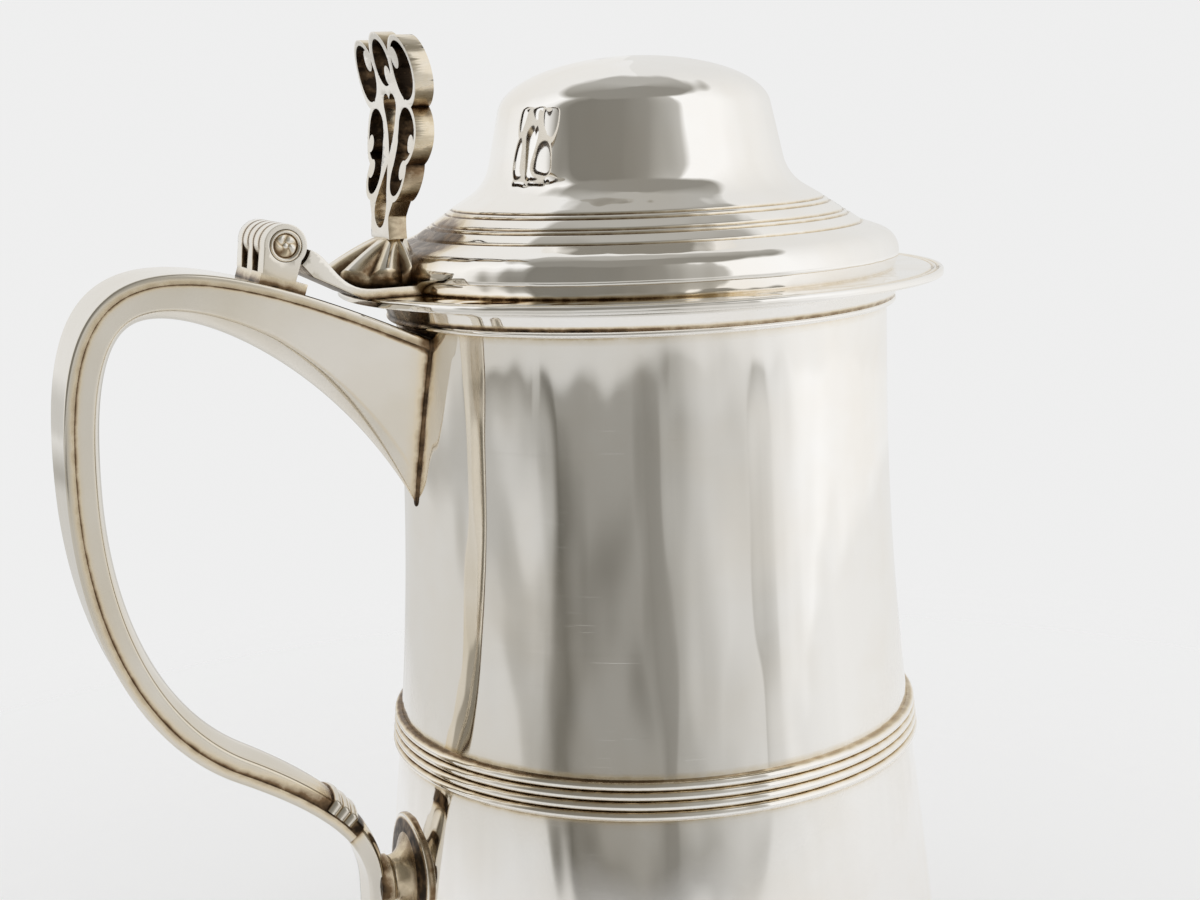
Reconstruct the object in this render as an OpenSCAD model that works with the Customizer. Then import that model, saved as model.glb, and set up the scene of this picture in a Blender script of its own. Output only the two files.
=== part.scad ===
// Silver tankard with a hinged domed lid, a pierced thumbpiece and a hollow scroll handle.
// Millimetres. The foot rests on z = 0, the handle points along -X and the hinge lies along Y.

/* [Drum] */
// height of the rim above the table
drum_h = 155; // [120:1:180]
// outer radius of the drum at its narrowest, under the rim
drum_r = 48; // [40:0.5:60]
// thickness of the drum wall
drum_wall = 1.1; // [0.8:0.1:2.5]
// depth below the rim at which the wall starts to swell
waist_drop = 20; // [10:1:40]
// radius of the long curve of the wall
swell_r = 600; // [400:10:1200]
// height of the drum's lower edge above the table
drum_lift = 4; // [2:0.5:8]
// thickness of the bottom plate
bottom_t = 1.3; // [1:0.1:3]

/* [Rim band] */
// height of the applied band at the rim
rim_h = 5; // [3:0.5:9]
// how far the band stands out from the drum at the rim
rim_out = 2.6; // [1.5:0.1:4]
// how far the band stands out at its lower edge
rim_low_out = 1.2; // [0.6:0.1:2]

/* [Girdle] */
// height of the middle of the girdle above the table
girdle_z = 67.5; // [50:0.5:90]
// radius of each reed
reed_r = 0.9; // [0.6:0.05:1.5]
// number of reeds in the girdle
reed_n = 4; // [3:1:6]

/* [Foot] */
// height of the foot moulding
foot_h = 15; // [10:0.5:22]
// how far the foot stands out past the drum's lower edge
foot_out = 5.5; // [3:0.1:10]
// height of the plain edge of the foot
foot_edge = 3.4; // [2:0.1:6]
// rounding above that edge
foot_round = 1.8; // [1:0.1:3]
// radius of the bead at the top of the foot
foot_bead = 1.5; // [0.8:0.1:2.5]
// width of the ring that touches the table
foot_land = 4.5; // [3:0.5:8]

/* [Lid] */
// height of the lid above its seat
lid_h = 43; // [30:0.5:60]
// thickness of the lid sheet
lid_sheet = 1.1; // [0.8:0.1:2]
// how far the flange overhangs the rim band
flange_over = 8.2; // [5:0.1:12]
// thickness of the flange
flange_t = 1.4; // [1:0.1:2.5]
// width of the flange outside the cushion moulding
flange_w = 8.4; // [5:0.1:12]
// rounding of the cushion moulding
cushion_round = 5; // [3:0.1:7]
// slope at which the cushion moulding tucks under
tuck_slope = 44; // [30:1:60]
// width of the sloping shelf between the cushion moulding and the step
shelf_w = 14.4; // [10:0.2:20]
// height of that step above the seat
step_h = 15.4; // [12:0.1:20]
// width of the hollow between the step and the dome
hollow_w = 6.6; // [4:0.1:10]
// height of the foot of the dome above the seat
dome_z = 19.4; // [16:0.1:24]
// how far the dome draws in between its foot and its crown
dome_in = 3; // [1:0.1:6]
// height of the crown
crown_h = 10.4; // [6:0.1:18]
// radius of the hollow between the step and the dome
dome_fillet = 9; // [4:0.5:14]
// radius of the incised lines
line_r = 0.35; // [0.2:0.05:0.6]
// depth of the bezel inside the rim
bezel_h = 3.5; // [2:0.5:6]
// thickness of the bezel ring
bezel_t = 1.2; // [0.8:0.1:2]

/* [Hinge] */
// distance of the hinge axis past the edge of the flange
hinge_out = 13.7; // [11:0.1:18]
// height of the hinge axis above the rim
hinge_up = 12; // [10:0.5:16]
// radius of the hinge lugs
lug_r = 3.8; // [3:0.1:5]
// width of one lug
lug_w = 4; // [3:0.1:6]
// radius of the hinge pin
pin_r = 1.5; // [1:0.1:2]
// radius of the rosette caps on the pin
cap_r = 2.9; // [2:0.1:3.4]
// depth of the caps in the outer lugs
cap_t = 1; // [0.6:0.1:1.6]
// length of the hinge block's foot along the handle
block_l = 8.5; // [6:0.5:15]
// thickness of the hinge block's foot
block_t = 2.4; // [1.6:0.1:4]
// thickness of the hinge leaf where it lies on the flange
leaf_t = 1.8; // [1.2:0.1:3]
// depth of the leaf's end below the hinge axis
leaf_end = 5.8; // [4:0.1:7]

/* [Thumbpiece] */
// height of the thumbpiece above its plinth
thumb_h = 37; // [28:0.5:46]
// thickness of the thumbpiece
thumb_t = 3.4; // [2:0.1:5]
// how far the thumbpiece stands in from the edge of the cushion moulding
thumb_in = 1.9; // [0:0.1:5]
// how far the thumbpiece leans back
thumb_lean = 5; // [2:0.1:8]
// height of the shell plinth above the flange
shell_h = 10; // [7:0.5:13]
// radius of the shell plinth
shell_r = 11; // [8:0.5:14]
// number of flutes in the shell
flute_n = 9; // [5:2:13]

/* [Handle] */
// depth below the rim of the handle's top edge at the drum
handle_drop = 6; // [5.5:0.1:12]
// depth inside the drum at which the handle's line starts
handle_root = 16; // [12:0.5:20]
// slope of the handle where it leaves the drum
rise_slope = 27.8; // [18:0.2:34]
// reach of the handle from the waist of the drum
handle_out = 65; // [55:1:80]
// depth below the rim of the outermost point
belly_drop = 29; // [20:1:45]
// how far the handle's slope at the drum carries into its curve
rise_lead = 75; // [60:1:90]
// how far the upright belly carries up into the curve
belly_up = 44; // [25:1:55]
// how far the upright belly carries down into the curve
belly_down = 28; // [18:1:40]
// distance of the lower turn out from the lower joint
turn_out = 24.1; // [16:0.1:32]
// height of the lower turn above the lower joint
turn_up = 27.4; // [20:0.2:38]
// slope of the handle at its lower turn
turn_slope = 30; // [20:1:45]
// how far that slope carries into the curves beside it
turn_lead = 17.5; // [10:0.5:24]
// how far the upright lower joint carries into the curves beside it
joint_lead = 10.5; // [8:0.5:18]
// half width of the handle at the drum
grip_w = 10; // [7:0.5:13]
// half width of the handle at its lower joint
grip_w_low = 4.2; // [3:0.1:8]
// depth of the handle section at the grip
grip_d = 7.2; // [6:0.1:12]
// depth of the handle section at the lower joint
grip_d_low = 3.8; // [3:0.1:7]
// extra depth of the handle where it meets the drum
flare_d = 24.5; // [12:0.1:30]
// ratio at which that extra depth fades along the handle
flare_ratio = 6.8; // [4:0.1:9]
// ratio by which the sides draw together where the handle meets the drum
root_ratio = 0.95; // [0.3:0.05:1]
// depth of the rounded inner side of the handle
keel_d = 3.2; // [1.5:0.1:5]
// thickness of the handle's outer strap
strap_t = 1.8; // [1:0.1:3]
// how far the strap overhangs the shell
strap_lip = 0.4; // [0:0.1:1]
// bevel along the strap's edges
strap_bevel = 0.5; // [0.2:0.1:0.8]
// thickness of the shell's sheet
shell_t = 1.2; // [0.8:0.1:2]
// thickness of the collar under its reeds
collar_t = 0.3; // [0.2:0.05:0.6]
// height of the collar's reeds
collar_out = 0.8; // [0.4:0.1:1.5]

/* [Lower joint] */
// height of the strut's axis above the table
strut_z = 42; // [30:1:60]
// radius of the round plate on the drum
plate_r = 12; // [9:0.5:18]
// width of the plate's rim outside the strut
plate_edge = 4.2; // [2:0.1:6]
// thickness of that plate
plate_t = 1.5; // [1:0.1:2.5]
// radius of the neck of the strut
neck_r = 4.4; // [3:0.1:6]
// gap left between the drum and the handle for the strut
strut_gap = 3.4; // [1.5:0.1:6]
// depth of the handle's seat in the end of the strut
strut_seat = 1.6; // [1:0.1:2.2]
// how far the tail of the handle swings out below the joint
tail_out = 13; // [8:0.5:20]
// how far the tail of the handle drops below the joint
tail_drop = 22; // [14:0.5:28]
// how much thinner the tail is at its end
tail_thin = 1.6; // [0.5:0.1:2.5]
// how much narrower each side of the tail is at its end
tail_narrow = 0.6; // [0.2:0.1:1.5]

/* [Fits] */
// gap between the closed lid and the rim
seat_gap = 0.1; // [0.05:0.05:0.3]
// gap between the bezel and the drum
bezel_gap = 0.9; // [0.7:0.1:1.5]
// gap beside each lug
lug_gap = 0.15; // [0.1:0.05:0.3]
// gap between a lug and the piece that it swings past
swing_gap = 0.6; // [0.4:0.1:1]
// radial clearance of the pin in the lid's lugs
pin_gap = 0.05; // [0.02:0.01:0.1]
// solder gap under the applied collar
solder = 0.03; // [0.02:0.01:0.08]

/* [Hidden] */
$fn = 96;
far = 300;
waist_z = drum_h - waist_drop;
foot_r = drum_out(drum_lift) + foot_out;
flange_r = drum_r + rim_out + flange_over;
cushion_r = flange_r - flange_w;
step_r = cushion_r - shelf_w;
dome_r = step_r - hollow_w;
crown_r = dome_r - dome_in;
hinge_u = flange_r + hinge_out;
thumb_u = cushion_r - thumb_in;
seat_z = drum_h + seat_gap;
hinge_z = drum_h + hinge_up;
leaf_z = seat_z + flange_t;
plinth_z = leaf_z + shell_h;
// the fret is drawn 37 high and scaled to the thumbpiece
fret = thumb_h / 37;
lug_pitch = lug_w + lug_gap;
hinge_w = 5 * lug_w + 4 * lug_gap;
cushion_u = cushion_r - cushion_round;
cushion_z = seat_z + flange_t + cushion_round * sin(tuck_slope);
bezel_r = drum_r - drum_wall - bezel_gap;
hinge_s = rail_at(hinge_u + lug_r / 4);
split_s = 2.62;
collar_s = 2.40;
sides = 14;

function drum_out(z) =
    let (d = max(0, waist_z - z), k = waist_z - girdle_z)
    drum_r + (d < k ? d * d / 2 : k * k / 2 + (d - k) * k) / swell_r;

function flip(p) = [for (i = [len(p) - 1:-1:0]) p[i]];

function unit(v) = v / norm(v);

function wall_line(z0, z1, inset = 0, n = 40) =
    [for (i = [0:n]) let (z = z0 + (z1 - z0) * i / n) [drum_out(z) - inset, z]];

function arc(c, r, a0, a1, n = 20) =
    [for (i = [0:n]) let (a = a0 + (a1 - a0) * i / n) c + r * [cos(a), sin(a)]];

// points that round the corner b of the line a-b-c with radius r
function round_corner(a, b, c, r, n = 12) =
    let (p = unit(a - b), q = unit(c - b), h = acos(p * q) / 2)
    let (m = b + unit(p + q) * r / sin(h), t = r / tan(h))
    let (s = b + p * t - m, e = b + q * t - m)
    let (a0 = atan2(s[1], s[0]), d = atan2(e[1], e[0]) - a0)
    arc(m, r, a0, a0 + (d > 180 ? d - 360 : d < -180 ? d + 360 : d), n);

// the line p moved sideways by t, to the right of its direction
function inset(p, t) =
    [for (i = [0:len(p) - 1])
        let (d = unit(p[min(i + 1, len(p) - 1)] - p[max(i - 1, 0)]))
        p[i] + t * [d[1], -d[0]]];

function bez(p, t) =
    pow(1 - t, 3) * p[0] + 3 * pow(1 - t, 2) * t * p[1] + 3 * (1 - t) * t * t * p[2] + t * t * t * p[3];

function bez_dir(p, t) =
    unit(pow(1 - t, 2) * (p[1] - p[0]) + 2 * (1 - t) * t * (p[2] - p[1]) + t * t * (p[3] - p[2]));

// Drum

module drum_fill_2d() {
    polygon(concat([[0, drum_lift]], wall_line(drum_lift, drum_h), [[0, drum_h]]));
}

module drum_fill() {
    rotate_extrude() drum_fill_2d();
}

module drum() {
    color([0.80, 0.78, 0.74])
    rotate_extrude()
    polygon(concat(wall_line(drum_lift, drum_h), flip(wall_line(drum_lift, drum_h, drum_wall))));
}

module bottom_plate() {
    color([0.74, 0.72, 0.68])
    rotate_extrude()
    intersection() {
        translate([0, drum_lift + bottom_t]) square([far, bottom_t]);
        polygon(concat([[0, drum_lift]], wall_line(drum_lift, drum_h, drum_wall), [[0, drum_h]]));
    }
}

module rim_band() {
    color([0.82, 0.80, 0.76])
    rotate_extrude()
    difference() {
        union() {
            polygon([
                [0, drum_h - rim_h],
                [drum_r + rim_low_out, drum_h - rim_h],
                [drum_r + rim_out, drum_h - rim_low_out],
                [drum_r + rim_out, drum_h],
                [0, drum_h]
            ]);
            translate([drum_r + rim_low_out, drum_h - rim_h + rim_low_out / 2]) circle(r = rim_low_out / 2);
        }
        drum_fill_2d();
    }
}

module girdle_band() {
    half = reed_n * reed_r;
    color([0.82, 0.80, 0.76])
    rotate_extrude()
    difference() {
        union() {
            polygon(concat(
                [[0, girdle_z - half]],
                wall_line(girdle_z - half, girdle_z + half, -0.55 * reed_r, 4),
                [[0, girdle_z + half]]
            ));
            for (i = [0:reed_n - 1])
                let (z = girdle_z + (2 * i + 1 - reed_n) * reed_r)
                translate([drum_out(z) + reed_r / 2, z]) circle(r = reed_r);
        }
        drum_fill_2d();
    }
}

// hollow quarter curve of width w and height h that runs up and inwards from p
function cove(p, w, h, n = 16) =
    [for (i = [0:n]) let (a = 90 * i / n) p + [-w * sin(a), h * (1 - cos(a))]];

module foot_ring() {
    neck = drum_out(foot_h) + foot_bead * 0.8;
    ledge = foot_r - foot_round;
    top = ledge - foot_round / 3;
    rise = foot_h - 2 * foot_bead;
    color([0.80, 0.78, 0.74])
    rotate_extrude()
    difference() {
        union() {
            polygon(concat(
                [[foot_r - foot_land, 0], [foot_r - foot_round / 3, 0], [foot_r, foot_round / 3]],
                arc([ledge, foot_edge], foot_round, 0, 90),
                cove([top, foot_edge + foot_round], top - neck, rise - foot_edge - foot_round),
                [[neck, foot_h], [0, foot_h], [0, drum_lift], [foot_r - foot_land, drum_lift]]
            ));
            translate([neck, foot_h - foot_bead]) circle(r = foot_bead);
        }
        drum_fill_2d();
        square([foot_r - foot_land, drum_lift]);
    }
}

// Lid

function lid_crown() =
    [for (i = [0:24]) let (a = 90 - 84 * i / 24)
        [crown_r * cos(a), seat_z + lid_h - crown_h + crown_h * sin(a)]];

function lid_line() =
    let (wall = [dome_r, seat_z + dome_z], step = [step_r, seat_z + step_h])
    concat(
        lid_crown(),
        round_corner([crown_r, seat_z + lid_h - crown_h], wall, step, dome_fillet),
        [step, [cushion_u - 0.08 * cushion_round, cushion_z + 1.06 * cushion_round]],
        arc([cushion_u, cushion_z], cushion_round, 90, -tuck_slope, 28)
    );

module lid_fill_2d() {
    polygon(concat(
        lid_line(),
        [[flange_r - 0.2 * flange_t, leaf_z], [flange_r, leaf_z - 0.2 * flange_t]],
        [[flange_r, seat_z], [0, seat_z]]
    ));
}

module lid_lines_2d() {
    slope = [step_r - cushion_u, step_h - (cushion_z - seat_z) - cushion_round] / (cushion_u - step_r);
    step = [step_r, seat_z + step_h];
    for (d = [-line_r, -4 * line_r, -15 * line_r, cushion_u - step_r - 1.5 * line_r])
        translate(step - slope * d) circle(r = line_r, $fn = 24);
    translate([flange_r - 6 * line_r, leaf_z]) circle(r = line_r, $fn = 24);
}

module lid_cover() {
    inner = flip(inset(lid_line(), lid_sheet));
    mouth = inner[0];
    color([0.82, 0.80, 0.76])
    rotate_extrude()
    difference() {
        lid_fill_2d();
        polygon(concat([[0, seat_z - 1], [mouth[0], seat_z - 1]], inner, [[0, seat_z + lid_h - lid_sheet]]));
        lid_lines_2d();
    }
}

module lid_bezel() {
    web = inset(lid_line(), lid_sheet);
    edge = web[len(web) - 1][0];
    color([0.78, 0.76, 0.72])
    rotate_extrude() {
        translate([bezel_r - bezel_t, seat_z - bezel_h]) square([bezel_t, bezel_h + bezel_t]);
        translate([bezel_r - bezel_t, seat_z]) square([edge - bezel_r + bezel_t, bezel_t]);
    }
}

// Hinge

// outline in the plane of the handle, spread over the width w about y0
module slab(w, y0 = 0) {
    translate([0, y0 + w / 2, 0]) rotate([90, 0, 0]) mirror([1, 0, 0]) linear_extrude(height = w) children();
}

module hinge_rod(r, w, y0 = 0) {
    slab(w, y0) translate([hinge_u, hinge_z]) circle(r = r);
}

// the lugs are counted from one end; the lid has the second and the fourth
module lugs(list, r, extra = 0) {
    for (i = list) hinge_rod(r, lug_w + 2 * extra, (i - 2) * lug_pitch);
}

function leaf_top() =
    [[hinge_u - 0.74 * lug_r, hinge_z - 0.16 * lug_r], [hinge_u - 2.2 * lug_r, hinge_z - 0.32 * lug_r],
     [hinge_u - 2.05 * lug_r, leaf_z + leaf_t], [flange_r - leaf_t, leaf_z + leaf_t]];

module leaf_2d() {
    polygon(concat(
        [for (i = [0:16]) bez(leaf_top(), i / 16)],
        [[cushion_u, leaf_z + leaf_t], [cushion_u, leaf_z], [flange_r, leaf_z],
         [hinge_u - 1.2 * lug_r, hinge_z - leaf_end], [hinge_u - 0.6 * lug_r, hinge_z - 0.8 * lug_r],
         [hinge_u, hinge_z]]
    ));
}

module lid_leaf() {
    color([0.72, 0.69, 0.64])
    difference() {
        union() {
            slab(hinge_w) leaf_2d();
            lugs([1, 3], lug_r);
        }
        lugs([0, 2, 4], lug_r + swing_gap, lug_gap);
        hinge_rod(pin_r + pin_gap, hinge_w + 1);
        rotate_extrude() lid_fill_2d();
    }
}

// rail position of the handle at the distance u from the drum axis
function rail_at(u, lo = 0, hi = 1, n = 16) =
    let (m = (lo + hi) / 2)
    n == 0 ? m : rail(m)[0] < u ? rail_at(u, m, hi, n - 1) : rail_at(u, lo, m, n - 1);

module block_foot() {
    translate([-rail(hinge_s)[0], 0, rail(hinge_s)[1]])
    rotate([0, -atan2(-rail_dir(hinge_s)[1], rail_dir(hinge_s)[0]), 0])
    translate([-block_l / 2, lug_w / 5 - hinge_w / 2, -strap_t / 3])
    cube([block_l, hinge_w - 2 * lug_w / 5, block_t]);
}

module hinge_block() {
    color([0.74, 0.71, 0.66])
    difference() {
        union() {
            block_foot();
            lugs([0, 2, 4], lug_r);
            intersection() {
                slab(hinge_w) polygon([
                    [hinge_u - 0.7 * lug_r, hinge_z - 0.7 * lug_r],
                    [hinge_u - 0.3 * lug_r, rail(hinge_s)[1] + 0.2 * block_t],
                    [hinge_u + 1.15 * lug_r, rail(hinge_s)[1] + 1.25 * block_t],
                    [hinge_u + lug_r, hinge_z]
                ]);
                for (i = [0, 2, 4])
                    slab(lug_w, (i - 2) * lug_pitch) square([far, far]);
            }
        }
        lugs([1, 3], lug_r + swing_gap, lug_gap);
        hinge_rod(pin_r, hinge_w + 1);
        for (y = [-1, 1]) hinge_rod(cap_r, 2 * cap_t, y * hinge_w / 2);
    }
}

module hinge_pin() {
    color([0.60, 0.57, 0.52])
    hinge_rod(pin_r, hinge_w - 2 * cap_t);
}

module pin_caps() {
    color([0.76, 0.74, 0.70])
    for (y = [-1, 1])
        translate([-hinge_u, y * (hinge_w / 2 - cap_t), hinge_z])
        rotate([-90 * y, 0, 0])
        difference() {
            cylinder(r = cap_r, h = cap_t);
            for (a = [0:60:300])
                rotate(a)
                translate([0.55 * cap_r, 0, cap_t + 0.07 * cap_r])
                sphere(r = 0.2 * cap_r, $fn = 24);
        }
}

// Thumbpiece

module lobe(y, v, r) {
    for (k = [-1, 1]) translate([k * y, v]) circle(r = r);
}

module thumb_outline() {
    polygon([[-5.5, 0], [5.5, 0], [5.2, 4], [8.6, 9], [10.4, 24], [12, 31], [0, 35],
        [-12, 31], [-10.4, 24], [-8.6, 9], [-5.2, 4]]);
    lobe(6.9, 11.4, 4.7);
    lobe(9.1, 18.7, 5.8);
    lobe(10.9, 29.6, 6.4);
    translate([0, 30.7]) circle(r = 6.3);
}

module drop(v, r, tip) {
    translate([0, v]) circle(r = r);
    polygon([[-r * 0.98, v + r * 0.2], [r * 0.98, v + r * 0.2], [0, tip]]);
}

// opening on each side between the stem and the scalloped edge, with two curled leaves left in it
module side_scroll() {
    difference() {
        union() {
            translate([9.1, 18.7]) circle(r = 4.7);
            translate([6.9, 11.4]) circle(r = 3.6);
            polygon([[3.5, 12.2], [5.1, 19.8], [9.2, 17.6], [10.1, 12.2]]);
        }
        translate([12.1, 17]) circle(r = 1.6);
        translate([9.4, 12.4]) circle(r = 1.7);
        polygon([[0, 10], [3.3, 10], [3.3, 13], [5.6, 24], [0, 24]]);
    }
}

// opening in each upper lobe, drawn down to a point, with one curled leaf left in it
module top_scroll() {
    difference() {
        union() {
            translate([11.1, 29.8]) circle(r = 5.2);
            polygon([[6.3, 27.8], [16, 28], [9.2, 24.6]]);
        }
        translate([8.4, 32.1]) circle(r = 1.9);
    }
}

module thumb_side() {
    side_scroll();
    top_scroll();
}

module thumb_cuts() {
    drop(5.4, 3.5, 13.4);
    thumb_side();
    mirror([1, 0]) thumb_side();
    lobe(1.75, 24, 2);
    polygon([[-3.65, 23.4], [3.65, 23.4], [0, 15]]);
    difference() {
        translate([0, 31.5]) circle(r = 4.2);
        translate([-1.9, 29.2]) circle(r = 1.7);
    }
}

function thumb_line() =
    [[thumb_u + 0.4 * thumb_lean, plinth_z - 0.3 * thumb_t],
     [thumb_u + 0.6 * thumb_lean, plinth_z + 0.3 * thumb_h],
     [thumb_u - 1.1 * thumb_lean, plinth_z + 0.4 * thumb_h],
     [thumb_u - 0.1 * thumb_lean, plinth_z + 1.03 * thumb_h]];

module thumbpiece() {
    line = [for (i = [0:24]) bez(thumb_line(), i / 24)];
    color([0.78, 0.75, 0.70])
    intersection() {
        slab(far) polygon(concat(inset(line, thumb_t / 2), flip(inset(line, -thumb_t / 2))));
        translate([-far / 2, 0, plinth_z])
        rotate([90, 0, 90])
        linear_extrude(height = far)
        scale(fret)
        difference() {
            thumb_outline();
            thumb_cuts();
        }
    }
}

module shell_plinth() {
    top = [-thumb_u - 0.3 * thumb_t, 0, plinth_z];
    seat = [2 * thumb_t, 11 * fret, 0.4 * shell_h];
    color([0.70, 0.66, 0.60])
    difference() {
        union() {
            translate(top - [seat[0] / 2, seat[1] / 2, seat[2]]) cube(seat);
            slab(seat[1]) polygon([
                [thumb_u - 0.7 * thumb_t, plinth_z],
                [thumb_u - 2.2 * thumb_t, plinth_z - 0.7 * shell_h],
                [thumb_u + thumb_t, plinth_z - 0.7 * shell_h],
                [thumb_u + thumb_t, plinth_z]
            ]);
            intersection() {
                translate(top - [0, 0, shell_h])
                cylinder(r1 = shell_r, r2 = 0.36 * shell_r, h = 0.9 * shell_h);
                translate([-far, -far / 2, 0]) cube([far, far, far]);
            }
            for (i = [0:flute_n - 1])
                translate(top - [0, 0, 0.26 * shell_h])
                rotate([0, 0, 180 + 190 * (i / (flute_n - 1) - 0.5)])
                rotate([0, 110, 0])
                cylinder(r1 = 0.08 * shell_r, r2 = 0.18 * shell_r, h = 1.15 * shell_r);
        }
        translate([-far, -far / 2, leaf_z + leaf_t - far]) cube([2 * far, far, far]);
        rotate_extrude() lid_fill_2d();
        slab(hinge_w + 1) leaf_2d();
    }
}

// Handle

function rail_set() =
    let (r = rise_slope, a = drum_r - handle_root)
    let (start = [a, drum_h - handle_drop - handle_root * tan(r)])
    let (belly = [drum_r + handle_out, drum_h - belly_drop])
    let (joint = [drum_out(strut_z) + plate_t + strut_gap + grip_d_low, strut_z])
    let (turn = joint + [turn_out, turn_up], fall = [cos(turn_slope), sin(turn_slope)])
    [
        [start, start + rise_lead * [cos(r), sin(r)], belly + [0, belly_up], belly],
        [belly, belly - [0, belly_down], turn + turn_lead * fall, turn],
        [turn, turn - turn_lead * fall, joint + [0, joint_lead], joint],
        [joint, joint - [0, joint_lead], joint - [0, tail_drop], joint + [tail_out, -0.86 * tail_drop]]
    ];

function rail(s) = let (i = min(floor(s), 3)) bez(rail_set()[i], s - i);
function rail_dir(s) = let (i = min(floor(s), 3)) bez_dir(rail_set()[i], s - i);

function grip_depth(s) =
    let (k = min(s, 3) / 3)
    grip_d + (grip_d_low - grip_d) * k * k + flare_d * exp(-s * flare_ratio) - tail_thin * max(0, s - 3);

function grip_half(s) =
    grip_w + (grip_w_low - grip_w) * min(s, 3) / 3 - tail_narrow * max(0, s - 3);

// point of the handle at rail position s, y across and n in from the outer face
function at(s, y, n) =
    let (p = rail(s), d = rail_dir(s))
    [-(p[0] + n * d[1]), y, p[1] - n * d[0]];

// section of the handle: flat sides down to an edge, then a rounded keel
function bow(s, out, top) =
    let (w = grip_half(s) + out, d = grip_depth(s) + out, k = min(keel_d, 0.55 * (d - top)))
    let (e = w * (0.97 - root_ratio * exp(-s * flare_ratio)))
    concat(
        [at(s, w, top)],
        [for (i = [0:sides - 2]) let (t = 1 - 2 * i / (sides - 2)) at(s, e * t, d - k * t * t)],
        [at(s, -w, top)]
    );

// end face of a row of m points from the index k on; a bent strip is closed pair by pair
function cap(m, k, strip) =
    strip ? [for (j = [0:m / 2 - 2]) [k + j, k + j + 1, k + m - 2 - j, k + m - 1 - j]]
    : [[for (j = [0:m - 1]) k + j]];

module sweep(rows, strip = false) {
    m = len(rows[0]);
    n = len(rows);
    polyhedron(
        points = [for (r = rows) for (p = r) p],
        faces = concat(
            [for (f = cap(m, 0, strip)) flip(f)],
            [for (i = [0:n - 2]) for (j = [0:m - 1])
                [i * m + j, i * m + (j + 1) % m, (i + 1) * m + (j + 1) % m, (i + 1) * m + j]],
            cap(m, (n - 1) * m, strip)
        ),
        convexity = 6
    );
}

function stations(a, b, n) = [for (i = [0:n]) a + (b - a) * i / n];

module handle_shell() {
    color([0.78, 0.76, 0.71])
    difference() {
        sweep([for (s = stations(0, split_s, 52))
            concat(bow(s, 0, strap_t), flip(bow(s, -shell_t, strap_t)))], true);
        drum_fill();
    }
}

module handle_strap() {
    color([0.82, 0.80, 0.76])
    difference() {
        sweep([for (s = stations(0, split_s, 52))
            let (w = grip_half(s) + strap_lip, b = strap_bevel)
            [at(s, w, strap_t), at(s, -w, strap_t), at(s, -w, b),
             at(s, b - w, 0), at(s, w - b, 0), at(s, w, b)]]);
        drum_fill();
        block_foot();
    }
}

module handle_collar() {
    color([0.74, 0.71, 0.66])
    sweep([for (i = [0:18])
        let (s = collar_s + 0.16 * i / 18, out = collar_t + collar_out * abs(sin(180 * i / 6)))
        concat(bow(s, out, strap_t + collar_t), flip(bow(s, solder, strap_t + collar_t)))], true);
}

module tail_scroll() {
    color([0.76, 0.73, 0.68])
    difference() {
        sweep([for (s = stations(split_s, 4, 34))
            let (w = grip_half(s), b = strap_bevel)
            concat(bow(s, 0, b), [at(s, b - w, 0), at(s, w - b, 0)])]);
        strut_end();
    }
}

module tail_button() {
    d = rail_dir(4);
    p = at(4, 0, grip_depth(4) / 2);
    color([0.78, 0.76, 0.72])
    translate(p)
    rotate([0, -atan2(d[0], d[1]), 0])
    cylinder(r1 = grip_half(4) + 0.4 * strap_bevel, r2 = grip_half(4) - 0.75 * tail_thin, h = tail_thin);
}

module strut_axis() {
    translate([0, 0, strut_z]) rotate([0, -90, 0]) children();
}

function strut_reach() = drum_out(strut_z) + plate_t + strut_gap;

module strut_end() {
    strut_axis()
    translate([0, 0, strut_reach() - strut_gap / 4])
    cylinder(r = 1.1 * neck_r, h = strut_gap / 4 + strut_seat);
}

module drum_plate_fill() {
    rotate_extrude()
    polygon(concat([[0, drum_lift]], wall_line(drum_lift, drum_h, -plate_t), [[0, drum_h]]));
}

module strut_plate() {
    color([0.80, 0.78, 0.73])
    difference() {
        intersection() {
            strut_axis() cylinder(r = plate_r, h = far);
            drum_plate_fill();
        }
        drum_fill();
    }
}

module lower_strut() {
    flare = plate_r - plate_edge;
    base = strut_reach() - strut_gap;
    neck = strut_reach() - strut_gap / 2;
    color([0.76, 0.73, 0.68])
    difference() {
        union() {
            strut_end();
            strut_axis()
            rotate_extrude()
            polygon(concat(
                [[0, base - flare], [flare, base - flare]],
                cove([flare, base], flare - neck_r, neck - base),
                [[1.1 * neck_r, strut_reach() - strut_gap / 4], [0, strut_reach() - strut_gap / 4]]
            ));
        }
        drum_plate_fill();
    }
}

drum();
bottom_plate();
rim_band();
girdle_band();
foot_ring();
lid_cover();
lid_bezel();
lid_leaf();
shell_plinth();
thumbpiece();
hinge_block();
hinge_pin();
pin_caps();
handle_shell();
handle_strap();
handle_collar();
tail_scroll();
tail_button();
lower_strut();
strut_plate();
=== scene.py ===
"""Silver tankard with a hinged domed lid, a pierced thumbpiece and a hollow scroll handle.

The turned pieces are outlines carried round the axis of the drum, the handle is a section carried
along a rail of four cubic curves, and the castings are softened solids. Every piece is worn silver,
with tarnish where its surface is sunk. Lengths are millimetres until a mesh is made.
"""

import bmesh
import bpy
import numpy as np
from mathutils import Matrix


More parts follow.
